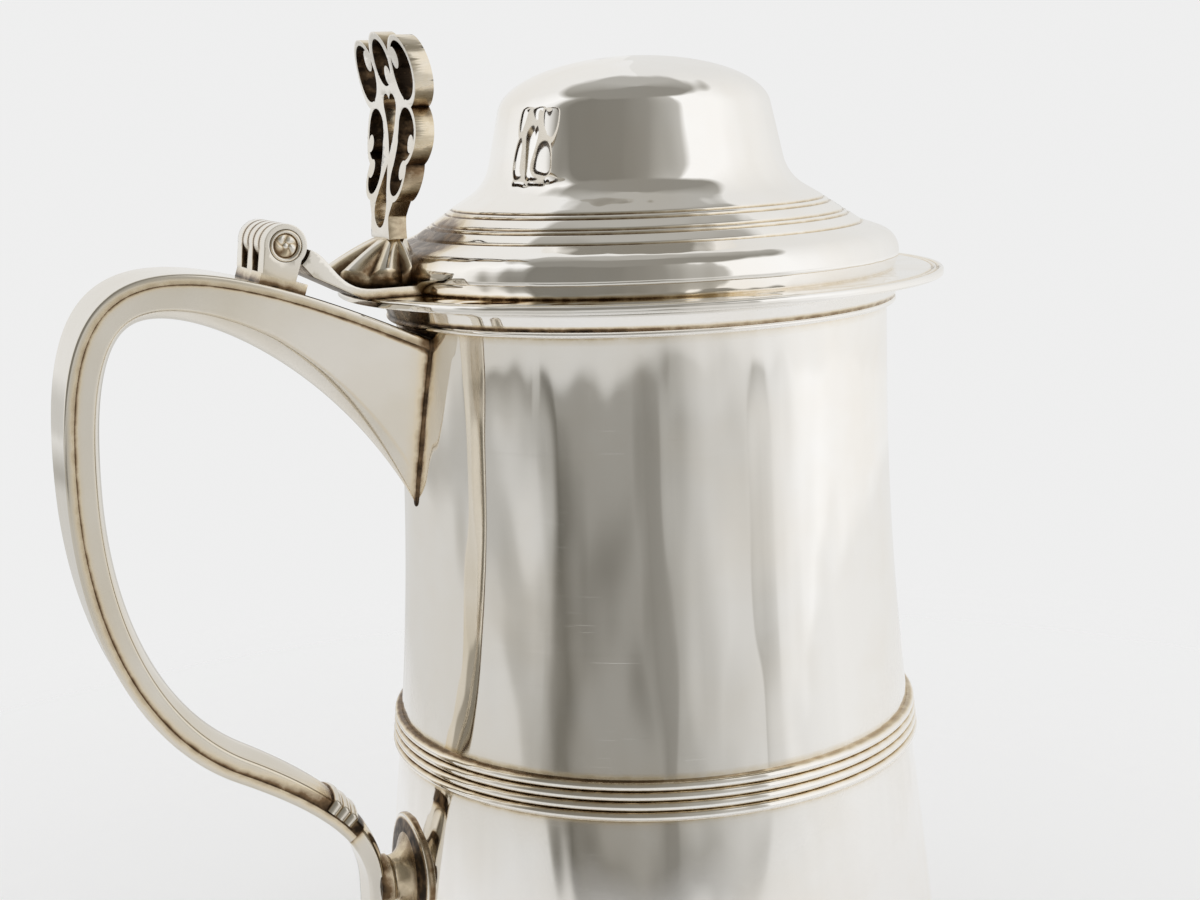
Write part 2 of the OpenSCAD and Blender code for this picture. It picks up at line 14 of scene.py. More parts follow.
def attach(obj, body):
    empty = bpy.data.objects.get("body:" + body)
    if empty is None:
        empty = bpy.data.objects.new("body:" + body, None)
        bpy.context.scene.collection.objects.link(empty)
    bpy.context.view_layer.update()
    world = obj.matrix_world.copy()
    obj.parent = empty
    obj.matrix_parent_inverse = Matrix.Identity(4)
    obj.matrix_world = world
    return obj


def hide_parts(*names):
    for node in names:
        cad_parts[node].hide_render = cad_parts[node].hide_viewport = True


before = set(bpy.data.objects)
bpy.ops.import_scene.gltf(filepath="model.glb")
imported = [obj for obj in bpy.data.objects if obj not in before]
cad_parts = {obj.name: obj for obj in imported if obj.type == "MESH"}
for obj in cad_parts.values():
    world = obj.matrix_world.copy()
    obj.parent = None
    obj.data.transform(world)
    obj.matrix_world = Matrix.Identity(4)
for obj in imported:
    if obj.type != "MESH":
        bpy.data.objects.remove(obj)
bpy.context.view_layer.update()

MM = 0.001

# Drum, with its bottom and its rim
DRUM_H, DRUM_R, DRUM_WALL, DRUM_LIFT = 155.0, 48.0, 1.1, 4.0
WAIST_Z, SWELL_R, BOTTOM_T = 135.0, 600.0, 1.3
RIM_H, RIM_OUT, RIM_LOW = 5.0, 2.6, 1.2

# Girdle and foot
GIRDLE_Z, REED_R, REED_N = 67.5, 0.9, 4
GIRDLE_HALF = REED_R * REED_N
FOOT_H, FOOT_OUT, FOOT_EDGE = 15.0, 5.5, 3.4
FOOT_ROUND, FOOT_BEAD, FOOT_LAND = 1.8, 1.5, 4.5

# Lid: flange, cushion with its border, shelf, hollow, crown, incised lines and bezel
SEAT_Z, LID_H, LID_SHEET, FLANGE_T = 155.1, 43.0, 1.1, 1.4
FLANGE_R, CUSHION_R, CUSHION_ROUND = 58.8, 50.4, 4.6
CUSHION_FROM, TUCK, BORDER_W, BORDER_SLOPE = 70, 44.0, 4.2, 20
STEP_R, STEP_H, DOME_R, DOME_Z = 36.0, 15.4, 29.4, 19.4
CROWN_R, CROWN_H, HOLLOW_R = 26.4, 10.4, 9.0
LINE_R, LINE_W, SHELF_LINES, SHELF_FALL = 0.35, 0.28, (0.3, 1.4, 4.0, 4.9), 0.68
CREST_LINE_IN, CREST_LINE_UP, FLANGE_LINES = 7.0, 10.4, (6, 3.2)
BEZEL_H, BEZEL_T, BEZEL_GAP = 3.5, 1.2, 0.9

# Hinge, thumbpiece and the shell under it
HINGE_U, HINGE_Z, LUG_W, LUG_GAP, CAP_R, CAP_T = 72.5, 167.0, 4.0, 0.15, 2.9, 1.0
HINGE_W = 5 * LUG_W + 4 * LUG_GAP
LEAF_Z = SEAT_Z + FLANGE_T
THUMB_U, PLINTH_Z = 48.5, LEAF_Z + 10.0
THUMB_H, THUMB_LEAN, THUMB_NARROW = 37, 2.0, 0.04
FAN_PITCH, FAN_OUT, FAN_BACK, FAN_TOP_OUT, FAN_TOP_HALF = 34.0, 8.6, 3.6, 2.6, 5.0
FAN_RIM_UP, FAN_FOOT_UP, FAN_AHEAD = 4.7, 1.4, 2.0
ROSE_RIM_R, ROSE_RIM_HALF, ROSE_RIM_H = 2.50, 0.38, 0.50
ROSE_PETAL_R, ROSE_PETAL_HALF, ROSE_PETAL_H = 1.25, 0.75, 0.24
ROSE_BOSS_R, ROSE_BOSS_H, ROSE_SUNK, ROSE_OUT = 0.55, 0.30, 0.35, 0.25

# Handle: rail, grip, strap and collar, by distance, height and place on the rail
HANDLE_ROOT, HANDLE_DROP, RISE_SLOPE, RISE_LEAD = 16.0, 6.0, 27.8, 75.0
HANDLE_OUT, BELLY_DROP, BELLY_UP, BELLY_DOWN = 65.0, 29.0, 44.0, 28.0
TURN_OUT, TURN_UP, TURN_SLOPE, TURN_LEAD, JOINT_LEAD = 24.1, 27.4, 30.0, 17.5, 10.5
GRIP_W, GRIP_W_LOW, GRIP_D, GRIP_D_LOW, FLARE_D, FLARE_RATIO = 10.0, 4.2, 7.2, 3.8, 24.5, 6.8
ROOT_RATIO, KEEL_D, KEEL_SHARE, EDGE_SHARE, EDGE_R = 0.95, 3.2, 0.32, 0.97, 0.45
STRAP_T, STRAP_LIP, STRAP_BEVEL, COLLAR_T, COLLAR_OUT = 1.8, 0.4, 0.5, 0.3, 0.5
SPLIT_S, COLLAR_S, COLLAR_L, SOLDER_R = 2.62, 2.40, 0.16, 0.42

# Strut and tail
STRUT_Z, NECK_R, STRUT_GAP, STRUT_SEAT = 42.0, 4.4, 3.4, 1.6
PLATE_R, PLATE_EDGE, PLATE_T, PLATE_RIM, PLATE_ROUND = 12.0, 1.1, 1.5, 0.8, 0.4
TAIL_OUT, TAIL_DROP, TAIL_END, TAIL_THIN, TAIL_NARROW = 13.0, 22.0, 0.86, 1.6, 0.6

# Steps round a turned piece and round the lid
TURN_STEPS, LID_STEPS = 256, 224

# Stain and painted shadow: strength along a seam or under the rim's step, reach in a groove, depth within
# which a point counts as outside the drum
SEAM_STAIN_AND_SHADE, GROOVE_REACH, OUTSIDE = 0.8, 0.24, 0.5

# Stain in hollows: how much the sunk mark is raised, what is taken off it, and the share that a cloth leaves
HOLLOW_GAIN, HOLLOW_LESS, CLOTH_LEAVES = 1.5, 0.5, 0.5


# Outlines


def drum_out(z):
    """Outer radius of the drum at a height.

    Upright down to the waist, then wider by half the squared drop over the swell radius, and straight
    below the girdle.
    """
    drop = np.maximum(0.0, WAIST_Z - np.asarray(z, float))
    bend = WAIST_Z - GIRDLE_Z
    return DRUM_R + np.where(drop < bend, drop**2 / 2, bend**2 / 2 + (drop - bend) * bend) / SWELL_R


def wall(z0, z1, inset=0.0, n=140):
    """Line of the drum's wall between two heights, moved in by inset."""
    z = np.linspace(z0, z1, n)
    return np.stack([drum_out(z) - inset, z], 1)


def arc(centre, radius, a0, a1, n=24):
    """Points on a circle between two angles in degrees."""
    a = np.radians(np.linspace(a0, a1, n))
    return np.asarray(centre) + radius * np.stack([np.cos(a), np.sin(a)], 1)


def corner(a, b, c, radius, n=24):
    """Circle that rounds the corner b of the line a-b-c: its centre lies on the bisector."""
    a, b, c = (np.asarray(v, float) for v in (a, b, c))
    p, q = (a - b) / np.linalg.norm(a - b), (c - b) / np.linalg.norm(c - b)
    half = np.arccos(p @ q) / 2
    mid = b + (p + q) / np.linalg.norm(p + q) * radius / np.sin(half)
    s, e = b + p * radius / np.tan(half) - mid, b + q * radius / np.tan(half) - mid
    a0, a1 = np.degrees(np.arctan2(s[1], s[0])), np.degrees(np.arctan2(e[1], e[0]))
    return arc(mid, radius, a0, a0 + (a1 - a0 + 180) % 360 - 180, n)


def unit(v):
    """Vectors of length one along the given ones."""
    return v / np.linalg.norm(v, axis=-1, keepdims=True)


def right_of(line):
    """Direction to the right of a line at each of its points."""
    d = unit(np.gradient(line, axis=0))
    return np.stack([d[:, 1], -d[:, 0]], 1)


def beside(line, t):
    """The line moved sideways by t, to the right of its direction."""
    return line + t * right_of(line)


def run_along(line):
    """Length of a line up to each of its points."""
    return np.concatenate([[0.0], np.cumsum(np.linalg.norm(np.diff(line, axis=0), axis=1))])


def follow(line, run, places):
    """Points of a line at the given lengths along it."""
    return np.stack([np.interp(places, run, line[:, i]) for i in range(line.shape[1])], 1)


def soften(points, reach, closed=True, n=5):
    """Line with its corners rounded.

    A corner of more than 9 degrees becomes a quadratic curve that starts and ends reach away from it,
    or 0.45 of the shorter side.
    """
    least_bend, side_share = np.radians(9), 0.45
    p = np.asarray(points, float)
    back, ahead = np.roll(p, 1, 0) - p, np.roll(p, -1, 0) - p
    lb, la = (np.maximum(np.linalg.norm(v, axis=1), 1e-9)[:, None] for v in (back, ahead))
    bent = np.sum(back * ahead, 1, keepdims=True) / (lb * la) > -np.cos(least_bend)
    r = np.minimum(reach, side_share * np.minimum(lb, la)) * bent
    if not closed:
        r[[0, -1]] = 0.0
    t = np.linspace(0, 1, n)[None, :, None]
    a, b = p + back / lb * r, p + ahead / la * r
    q = (1 - t) ** 2 * a[:, None] + 2 * (1 - t) * t * p[:, None] + t**2 * b[:, None]
    return q.reshape(-1, 2)


def spread(points, step, closed=True):
    """The line with points added so that none lie further apart than step, and repeats left out."""
    repeat = 0.02
    p = np.concatenate([points, points[:1]]) if closed else points
    run = run_along(p)
    places = np.unique(np.concatenate([run, np.arange(0, run[-1], step)]))
    places = places[np.concatenate([[True], np.diff(places) > repeat])]
    if closed and run[-1] - places[-1] < repeat:
        places = places[:-1]
    return follow(p, run, places)


def sunk(points, closed=True, width=0.8, depth=0.10):
    """How far each point lies behind the mean of its neighbours, along the outward normal.

    The mean is weighted by a bell curve of the given width, and the distance is a share of depth: 1 in a
    hollow, -1 on an edge.
    """
    fine_step = 0.05
    p = np.concatenate([points, points[:1]]) if closed else points
    run = run_along(p)
    fine = np.arange(0, run[-1], fine_step)
    q = follow(p, run, fine)
    k = int(4 * width / fine_step)
    bell = np.exp(-0.5 * (np.arange(-k, k + 1) * fine_step / width) ** 2)
    if closed:
        wide = np.pad(q, ((k, k), (0, 0)), mode="wrap")
    else:
        wide = np.pad(q, ((k, k), (0, 0)), mode="reflect", reflect_type="odd")
    mean = np.stack([np.convolve(wide[:, i], bell / bell.sum(), "valid") for i in (0, 1)], 1)
    d = np.gradient(q, axis=0)
    d /= np.maximum(np.linalg.norm(d, axis=1), 1e-9)[:, None]
    turn = np.sign(np.sum(q[:, 0] * np.roll(q[:, 1], -1) - np.roll(q[:, 0], -1) * q[:, 1]))
    out = turn * np.stack([d[:, 1], -d[:, 0]], 1)
    return np.interp(run_along(points), fine, np.clip(np.sum((mean - q) * out, 1) / depth, -1, 1))


# Meshes


def sheet(name, grid, mark, wrap_rows=True, wrap_columns=True):
    """Quads over a grid of points; a wrapped direction joins its last line to its first. Poles are merged."""
    rows, columns = grid.shape[:2]
    index = np.arange(rows * columns).reshape(rows, columns)
    i = np.arange(rows if wrap_rows else rows - 1)[:, None]
    j = np.arange(columns if wrap_columns else columns - 1)[None]
    i1, j1 = (i + 1) % rows, (j + 1) % columns
    quads = np.stack([index[i, j], index[i, j1], index[i1, j1], index[i1, j]], -1).reshape(-1, 4)
    mesh = bpy.data.meshes.new(name)
    mesh.vertices.add(rows * columns)
    mesh.vertices.foreach_set("co", (grid * MM).ravel())
    mesh.loops.add(quads.size)
    mesh.loops.foreach_set("vertex_index", quads.ravel())
    mesh.polygons.add(len(quads))
    mesh.polygons.foreach_set("loop_start", np.arange(len(quads)) * 4)
    mesh.update(calc_edges=True)
    marks = mesh.attributes.new("sunk", "FLOAT", "POINT").data
    marks.foreach_set("value", np.broadcast_to(mark, (rows, columns)).ravel())
    return finish_mesh(name, mesh)


def finish_mesh(name, mesh, sharp=48.0):
    """Doubles merged, faces turned outwards, smooth except across edges sharper than the given angle."""
    work = bmesh.new()
    work.from_mesh(mesh)
    bmesh.ops.remove_doubles(work, verts=work.verts, dist=1e-6)
    bmesh.ops.recalc_face_normals(work, faces=work.faces)
    work.to_mesh(mesh)
    work.free()
    mesh.polygons.foreach_set("use_smooth", np.ones(len(mesh.polygons), bool))
    mesh.set_sharp_from_angle(angle=np.radians(sharp))
    piece = bpy.data.objects.new(name, mesh)
    bpy.context.scene.collection.objects.link(piece)
    return piece


def capped(name, grid, mark):
    """Sheet over rows of closed sections, each end drawn to its middle and marked like its end row."""
    first, last = (row.mean(1, keepdims=True) + 0 * row for row in (grid[:1], grid[-1:]))
    whole = np.concatenate([first, grid, last])
    return sheet(name, whole, np.concatenate([mark[:1], mark, mark[-1:]]), wrap_rows=False)


def whole_turn(n):
    """Angles of n even steps round a circle."""
    return np.arange(n) * 2 * np.pi / n


def carried_round(line, n):
    """Line of (radius, height) carried round the Z axis in n steps: x = r cos t, y = r sin t."""
    t, r = whole_turn(n), line[:, :1]
    return np.stack([r * np.cos(t), r * np.sin(t), line[:, 1:] + 0 * t], -1)


def unpolished(grid, least):
    """1 near the handle, falling evenly with the turn away from it to the given least."""
    clean_at, fade = 95, 40
    turn = np.degrees(np.arctan2(np.abs(grid[..., 1]), -grid[..., 0]))
    return np.clip((clean_at - turn) / fade, least, 1)


def under_hinge(grid):
    """Stain where the handle runs into the drum below the hinge; it fades sideways and downwards."""
    root_half, below_mouth, fade_side, fade_down, strength = 9.5, 4, 3.0, 3.5, 0.9
    x, y, z = np.moveaxis(grid, -1, 0)
    side, low = np.maximum(np.abs(y) - root_half, 0), np.maximum(DRUM_H - below_mouth - z, 0)
    outer = np.hypot(x, y) > drum_out(z) - OUTSIDE
    return strength * np.exp(-side / fade_side - low / fade_down) * (x < 0) * outer


def seam_stain_and_shadow(heights, reach=0.38):
    """Mark that fades away from given heights, on the outer side of the drum: tarnish along soldered seams,
    and painted shadow under the rim's overhanging step.
    """

    def stain(p):
        """Strength at each point of an outline."""
        near = np.max([np.exp(-np.abs(p[:, 1] - h) / reach) for h in heights], 0)
        return SEAM_STAIN_AND_SHADE * near * (p[:, 0] > drum_out(p[:, 1]) - OUTSIDE)

    return stain


def turned(name, outline, closed=True, step=1.2, soft=0.3, stain=None, spot=None):
    """Outline (radius, height) carried round the Z axis. An open outline starts and ends on the axis."""
    p = spread(soften(outline, soft, closed), step, closed)
    grid = carried_round(p, TURN_STEPS)
    mark = np.clip(HOLLOW_GAIN * sunk(p, closed) - HOLLOW_LESS, -1, 1)
    if stain is not None:
        mark = np.maximum(mark, stain(p))
    mark = mark[:, None] * unpolished(grid, CLOTH_LEAVES)
    if spot is not None:
        mark = np.maximum(mark, spot(grid))
    return sheet(name, grid, mark, wrap_rows=closed)


# Turned pieces


def make_drum():
    """Wall of the drum: its outer line up and its inner line down."""
    outer, inner = wall(DRUM_LIFT, DRUM_H, 0, 160), wall(DRUM_LIFT, DRUM_H, DRUM_WALL, 100)
    # The first height, at the foot of the rim band, gives a painted shadow under the band's overhanging step;
    # the others give tarnish along soldered seams.
    seams_and_rim_shadow = seam_stain_and_shadow([DRUM_H - RIM_H, GIRDLE_Z - GIRDLE_HALF, GIRDLE_Z + GIRDLE_HALF, FOOT_H])
    outline = np.concatenate([outer, inner[::-1]])
    return turned("drum_wall", outline, step=6.0, stain=seams_and_rim_shadow, spot=under_hinge)


def make_bottom():
    """Flat bottom plate inside the drum."""
    z0, z1 = DRUM_LIFT + BOTTOM_T, DRUM_LIFT + 2 * BOTTOM_T
    r0, r1 = drum_out(z0) - DRUM_WALL, drum_out(z1) - DRUM_WALL
    return turned("bottom_sheet", [[0, z0], [r0, z0], [r1, z1], [0, z1]], closed=False, step=2.0)


def make_rim():
    """Band at the mouth: a bead, a sloping face and a plain edge."""
    z0, edge = DRUM_H - RIM_H, DRUM_R + RIM_OUT
    bead = arc([DRUM_R + RIM_LOW, z0 + RIM_LOW / 2], RIM_LOW / 2, -90, 60, 14)
    face = [[edge, DRUM_H - RIM_LOW], [edge, DRUM_H], [DRUM_R, DRUM_H]]
    outline = np.concatenate([[[DRUM_R, z0]], bead, face])
    return turned("rim_moulding", outline, step=0.4, soft=0.25, spot=under_hinge)


def make_girdle():
    """Reeds one above the other: half circles on a strip that follows the drum, with stained grooves."""
    low, high = GIRDLE_Z - GIRDLE_HALF, GIRDLE_Z + GIRDLE_HALF
    z = GIRDLE_Z + (2 * np.arange(REED_N) + 1 - REED_N) * REED_R
    a = np.radians(np.linspace(-84, 84, 18))
    out = (drum_out(z) + REED_R / 2)[:, None] + REED_R * np.cos(a)
    reeds = np.stack([out, z[:, None] + REED_R * np.sin(a)], -1).reshape(-1, 2)
    outline = np.concatenate([wall(low, low, 0, 1), reeds, wall(high, high, 0, 1)])
    grooves = GIRDLE_Z + (2 * np.arange(REED_N + 1) - REED_N) * REED_R
    return turned("girdle_reeds", outline, step=0.4, soft=0.1, stain=seam_stain_and_shadow(grooves, GROOVE_REACH))


def make_foot():
    """Foot: a plain edge, a quarter round, a hollow of a quarter ellipse and a bead against the drum."""
    foot_r = float(drum_out(DRUM_LIFT)) + FOOT_OUT
    bead_out, below_top = 0.8, 0.3
    neck = float(drum_out(FOOT_H)) + bead_out * FOOT_BEAD
    ledge, lip = foot_r - FOOT_ROUND, FOOT_ROUND / 3
    top, rise = ledge - lip, FOOT_H - 2 * FOOT_BEAD - FOOT_EDGE - FOOT_ROUND
    a = np.radians(np.linspace(0, 90, 20))
    hollow_z = FOOT_EDGE + FOOT_ROUND + rise * (1 - np.cos(a))
    outline = np.concatenate([
        [[foot_r - FOOT_LAND, 0], [foot_r - lip, 0], [foot_r, lip]],
        arc([ledge, FOOT_EDGE], FOOT_ROUND, 0, 90, 14),
        np.stack([top - (top - neck) * np.sin(a), hollow_z], 1),
        arc([neck, FOOT_H - FOOT_BEAD], FOOT_BEAD, -80, 120, 20),
        wall(DRUM_LIFT, FOOT_H - below_top, 0, 14)[::-1],
        [[foot_r - FOOT_LAND, DRUM_LIFT]],
    ])
    return turned("foot_moulding", outline, step=0.7, soft=0.25)


def lid_line():
    """Outer line of the lid from its top to its flange.

    It is a half ellipse, a hollow, a sloping shelf, a flatter border and a round cushion.
    """
    crown_z = SEAT_Z + LID_H - CROWN_H
    a = np.radians(np.linspace(90, 6, 40))
    crown = np.stack([CROWN_R * np.cos(a), crown_z + CROWN_H * np.sin(a)], 1)
    step = [STEP_R, SEAT_Z + STEP_H]
    mid = [CUSHION_R - CUSHION_ROUND, LEAF_Z + CUSHION_ROUND * np.sin(np.radians(TUCK))]
    hollow = corner([CROWN_R, crown_z], [DOME_R, SEAT_Z + DOME_Z], step, HOLLOW_R)
    cushion = arc(mid, CUSHION_ROUND, CUSHION_FROM, -TUCK, 36)
    slope = np.radians(BORDER_SLOPE)
    border = cushion[0] + BORDER_W * np.array([-np.cos(slope), np.sin(slope)])
    return np.concatenate([crown, hollow, [step, border], cushion])


def lid_outline():
    """Whole section of the lid: its outer line, the flange, and the same line moved in by the sheet."""
    off_axis, edge_share = 0.05, 0.2
    line = lid_line()
    inner = beside(line, LID_SHEET)[::-1]
    inner = inner[inner[:, 0] > off_axis]
    f = edge_share * FLANGE_T
    flange = [[FLANGE_R - f, LEAF_Z], [FLANGE_R, LEAF_Z - f], [FLANGE_R, SEAT_Z], [inner[0, 0], SEAT_Z]]
    outline = np.concatenate([line, flange, inner, [[0, SEAT_Z + LID_H - LID_SHEET]]])
    outline[0, 0] = 0.0
    return outline


def incised(p):
    """How deep each point of the lid's outline lies in an incised line, as a sum of bell curves."""
    shelf = [[STEP_R + d, SEAT_Z + STEP_H - SHELF_FALL * d] for d in SHELF_LINES]
    crest = [[CUSHION_R - CREST_LINE_IN, SEAT_Z + CREST_LINE_UP]]
    flange = [[FLANGE_R - k * LINE_R, LEAF_Z] for k in FLANGE_LINES]
    cuts = np.array(shelf + crest + flange)
    nearest = p[np.argmin(np.linalg.norm(p[:, None] - cuts[None], axis=2), 0)]
    return np.exp(-((np.linalg.norm(p[:, None] - nearest[None], axis=2) / LINE_W) ** 2)).sum(1)


def fewer(line, length=1.5, turn=7.0):
    """Which points of a fine line to keep.

    It keeps one for each step of the run over length plus the bend over turn, and both ends.
    """
    d = np.diff(line, axis=0)
    run, way = np.linalg.norm(d, axis=1), np.unwrap(np.arctan2(d[:, 1], d[:, 0]))
    bend = np.concatenate([[0.0], np.abs(np.degrees(np.diff(way)))])
    steps = np.floor(np.cumsum(run / length + bend / turn))
    keep = np.concatenate([[True], np.diff(steps, prepend=0.0) > 0])
    keep[-1] = True
    return keep


def lid_stain(p, grid):
    """Stain on the upper side of the lid, beside the leaf and round the shell."""
    leaf_reach, leaf_from, shell_r, shell_reach, strength = 2.4, 40, 9.5, 2.2, 0.85
    x, y, z = np.moveaxis(grid, -1, 0)
    outside = (np.arange(len(p)) < np.argmax(p[:, 1] < SEAT_Z + 0.05))[:, None]
    upper = outside * (z > SEAT_Z + 1) * (z < SEAT_Z + STEP_H)
    leaf = np.exp(-np.maximum(np.abs(y) - HINGE_W / 2, 0) / leaf_reach) * (x < -leaf_from) * upper
    shell = np.exp(-np.maximum(np.hypot(x + THUMB_U, y) - shell_r, 0) / shell_reach) * upper
    return strength * np.maximum(leaf, shell)


def make_lid():
    """Lid sheet, with its incised lines dipped in along the surface's normal."""
    rounding, fine_step, cut_depth, cut_stain, cloth_leaves = 0.25, 0.08, 0.9 * LINE_R, 0.56, 0.12
    p = spread(soften(lid_outline(), rounding, False), fine_step, False)
    dip = incised(p)
    p = p + cut_depth * dip[:, None] * right_of(p)
    shade = np.maximum(1.2 * sunk(p, False, width=0.4, depth=0.06) - HOLLOW_LESS, -1)
    keep = fewer(p)
    p, dip, shade = p[keep], dip[keep], shade[keep]
    grid = carried_round(p, LID_STEPS)
    dirty = unpolished(grid, cloth_leaves)
    lines = cut_stain * np.minimum(dip, 1)[:, None] * (0.6 + 0.4 * dirty)
    mark = np.maximum(np.maximum(shade[:, None] * dirty, lines), lid_stain(p, grid))
    return sheet("lid_dome", grid, mark, wrap_rows=False)


def make_bezel():
    """Angle ring under the lid: a flat web and a short wall that drops inside the mouth."""
    low, high = SEAT_Z - BEZEL_H, SEAT_Z + BEZEL_T
    r1 = DRUM_R - DRUM_WALL - BEZEL_GAP
    r0, edge = r1 - BEZEL_T, float(beside(lid_line(), LID_SHEET)[-1, 0])
    outline = [[r0, low], [r1, low], [r1, SEAT_Z], [edge, SEAT_Z], [edge, high], [r0, high]]
    return turned("bezel_ring", outline, step=0.8, soft=0.25)


# Handle


def rail_set():
    """The four cubic curves of the handle's outer face, as distance out from the axis and height."""
    r, turn_a = np.radians(RISE_SLOPE), np.radians(TURN_SLOPE)
    start = np.array([DRUM_R - HANDLE_ROOT, DRUM_H - HANDLE_DROP - HANDLE_ROOT * np.tan(r)])
    belly = np.array([DRUM_R + HANDLE_OUT, DRUM_H - BELLY_DROP])
    joint = np.array([float(drum_out(STRUT_Z)) + PLATE_T + STRUT_GAP + GRIP_D_LOW, STRUT_Z])
    turn, fall = joint + [TURN_OUT, TURN_UP], np.array([np.cos(turn_a), np.sin(turn_a)])
    return np.array([
        [start, start + RISE_LEAD * np.array([np.cos(r), np.sin(r)]), belly + [0, BELLY_UP], belly],
        [belly, belly - [0, BELLY_DOWN], turn + TURN_LEAD * fall, turn],
        [turn, turn - TURN_LEAD * fall, joint + [0, JOINT_LEAD], joint],
        [joint, joint - [0, JOINT_LEAD], joint - [0, TAIL_DROP], joint + [TAIL_OUT, -TAIL_END * TAIL_DROP]],
    ])


RAIL = rail_set()


def rail(s):
    """Point and direction on the rail at s, 0 to 4: a cubic Bezier curve and its derivative."""
    s = np.asarray(s, float)
    i = np.clip(np.floor(s), 0, 3).astype(int)
    t, p = (s - i)[..., None], RAIL[i]
    q = [p[..., k, :] for k in range(4)]
    point = (1 - t) ** 3 * q[0] + 3 * (1 - t) ** 2 * t * q[1] + 3 * (1 - t) * t**2 * q[2] + t**3 * q[3]
    way = (1 - t) ** 2 * (q[1] - q[0]) + 2 * (1 - t) * t * (q[2] - q[1]) + t**2 * (q[3] - q[2])
    return point, unit(way)


def at(s, y, n):
    """Point of the handle at rail position s, y across and n in from the outer face."""
    (p, d), y = rail(s), np.asarray(y, float)
    u, z = p[..., 0] + n * d[..., 1], p[..., 1] - n * d[..., 0]
    return np.stack(np.broadcast_arrays(-u, y, z), -1)


# Upper stretch of the rail, on which the hinge block stands
RISE = rail(np.linspace(0, 0.9, 200))[0]


def grip_depth(s):
    """Depth of the handle: it thins towards the joint and flares by a falling exponential at the drum."""
    k = np.minimum(s, 3) / 3
    flare, tail = FLARE_D * np.exp(-s * FLARE_RATIO), TAIL_THIN * np.maximum(0, s - 3)
    return GRIP_D + (GRIP_D_LOW - GRIP_D) * k**2 + flare - tail


def grip_half(s):
    """Half width of the handle: it narrows evenly to the joint and again along the tail."""
    return GRIP_W + (GRIP_W_LOW - GRIP_W) * np.minimum(s, 3) / 3 - TAIL_NARROW * np.maximum(0, s - 3)


def bow(s, v, out, top):
    """Section of the handle at v, 0 to 5: a flat side, its worn edge, the keel, and the same again.

    The keel is a parabola and each edge a quadratic curve.
    """
    w, d = grip_half(s) + out, grip_depth(s) + out
    k = np.minimum(KEEL_D, KEEL_SHARE * (d - top))
    e = w * (EDGE_SHARE - ROOT_RATIO * np.exp(-s * FLARE_RATIO))
    f, g = 1 - EDGE_R / np.hypot(w - e, d - k - top), 1 - np.minimum(EDGE_R / e, 0.5)
    ay, an, by, bn = w + (e - w) * f, top + (d - k - top) * f, e * g, d - k * g**2
    m, t = np.minimum(v, 5 - v), g * (5 - 2 * v)
    i, b = np.clip(m, 0, 1), np.clip(m - 1, 0, 1)
    y_edge = (1 - b) ** 2 * ay + 2 * (1 - b) * b * e + b**2 * by
    n_edge = (1 - b) ** 2 * an + 2 * (1 - b) * b * (d - k) + b**2 * bn
    y = np.where(m < 1, w + (ay - w) * i, y_edge) * np.sign(2.5 - v)
    n = np.where(m < 1, top + (an - top) * i, n_edge)
    return at(s, np.where(m < 2, y, e * t), np.where(m < 2, n, d - k * t**2))


def around_bow(side, edge, keel):
    """Places on the section: so many on each flat side, on each edge and on the keel."""
    counts = (side, edge, keel, edge, side)
    parts = [np.linspace(i, i + 1, n)[: None if i == 4 else -1] for i, n in enumerate(counts)]
    return np.concatenate(parts)


def painted_edge_glint(m):
    """Faint straw mark along the handle's worn edges, a painted golden highlight where the arris would catch
    light; the place on the half section is m.
    """
    strength, middle, spread_m = 0.13, 1.5, 0.30
    return strength * np.exp(-(((m - middle) / spread_m) ** 2))


def from_drum(point, columns):
    """Rail positions where the lines of a section leave the drum, by halving."""
    lo, hi = np.zeros(columns), np.full(columns, 0.6)
    for _ in range(40):
        mid = (lo + hi) / 2
        p = point(mid)
        inside = np.hypot(p[:, 0], p[:, 1]) < drum_out(p[:, 2])
        lo, hi = np.where(inside, mid, lo), np.where(inside, hi, mid)
    return hi


def make_shell():
    """Shell of the handle, from the drum to the joint line, closed under the strap."""
    strap_reach, root_stain, root_reach, closer_at_root = 0.22, 0.9, 0.9, 1.15
    v, flat = around_bow(16, 7, 26), np.linspace(-1, 1, 10)[1:-1]
    size = len(v)

    def curved(s):
        """Sides, edges and keel."""
        return bow(s, v, 0.0, STRAP_T)

    def closing(s):
        """Flat face under the strap."""
        return at(s, flat * grip_half(s), STRAP_T + 0 * s)

    s0 = np.concatenate([from_drum(curved, size), from_drum(closing, len(flat))])
    s = s0 + (SPLIT_S - s0) * np.linspace(0, 1, 180)[:, None] ** closer_at_root
    grid = np.concatenate([curved(s[:, :size]), closing(s[:, size:])], 1)
    gap = np.hypot(grid[..., 0], grid[..., 1]) - drum_out(grid[..., 2])
    m = np.minimum(v, 5 - v)
    under = np.exp(-m * (grip_depth(s[:, :size]) - STRAP_T - KEEL_D) / strap_reach)
    # The straw line along the edges is a painted highlight; the rest of the mark is the dark joint line under
    # the strap.
    mark = np.concatenate([np.maximum(under, painted_edge_glint(m) + 0 * under), 0 * s[:, size:]], 1)
    mark = np.clip(np.maximum(mark, root_stain * np.exp(-gap / root_reach)), 0, 1)
    return capped("handle_hollow", grid, mark)


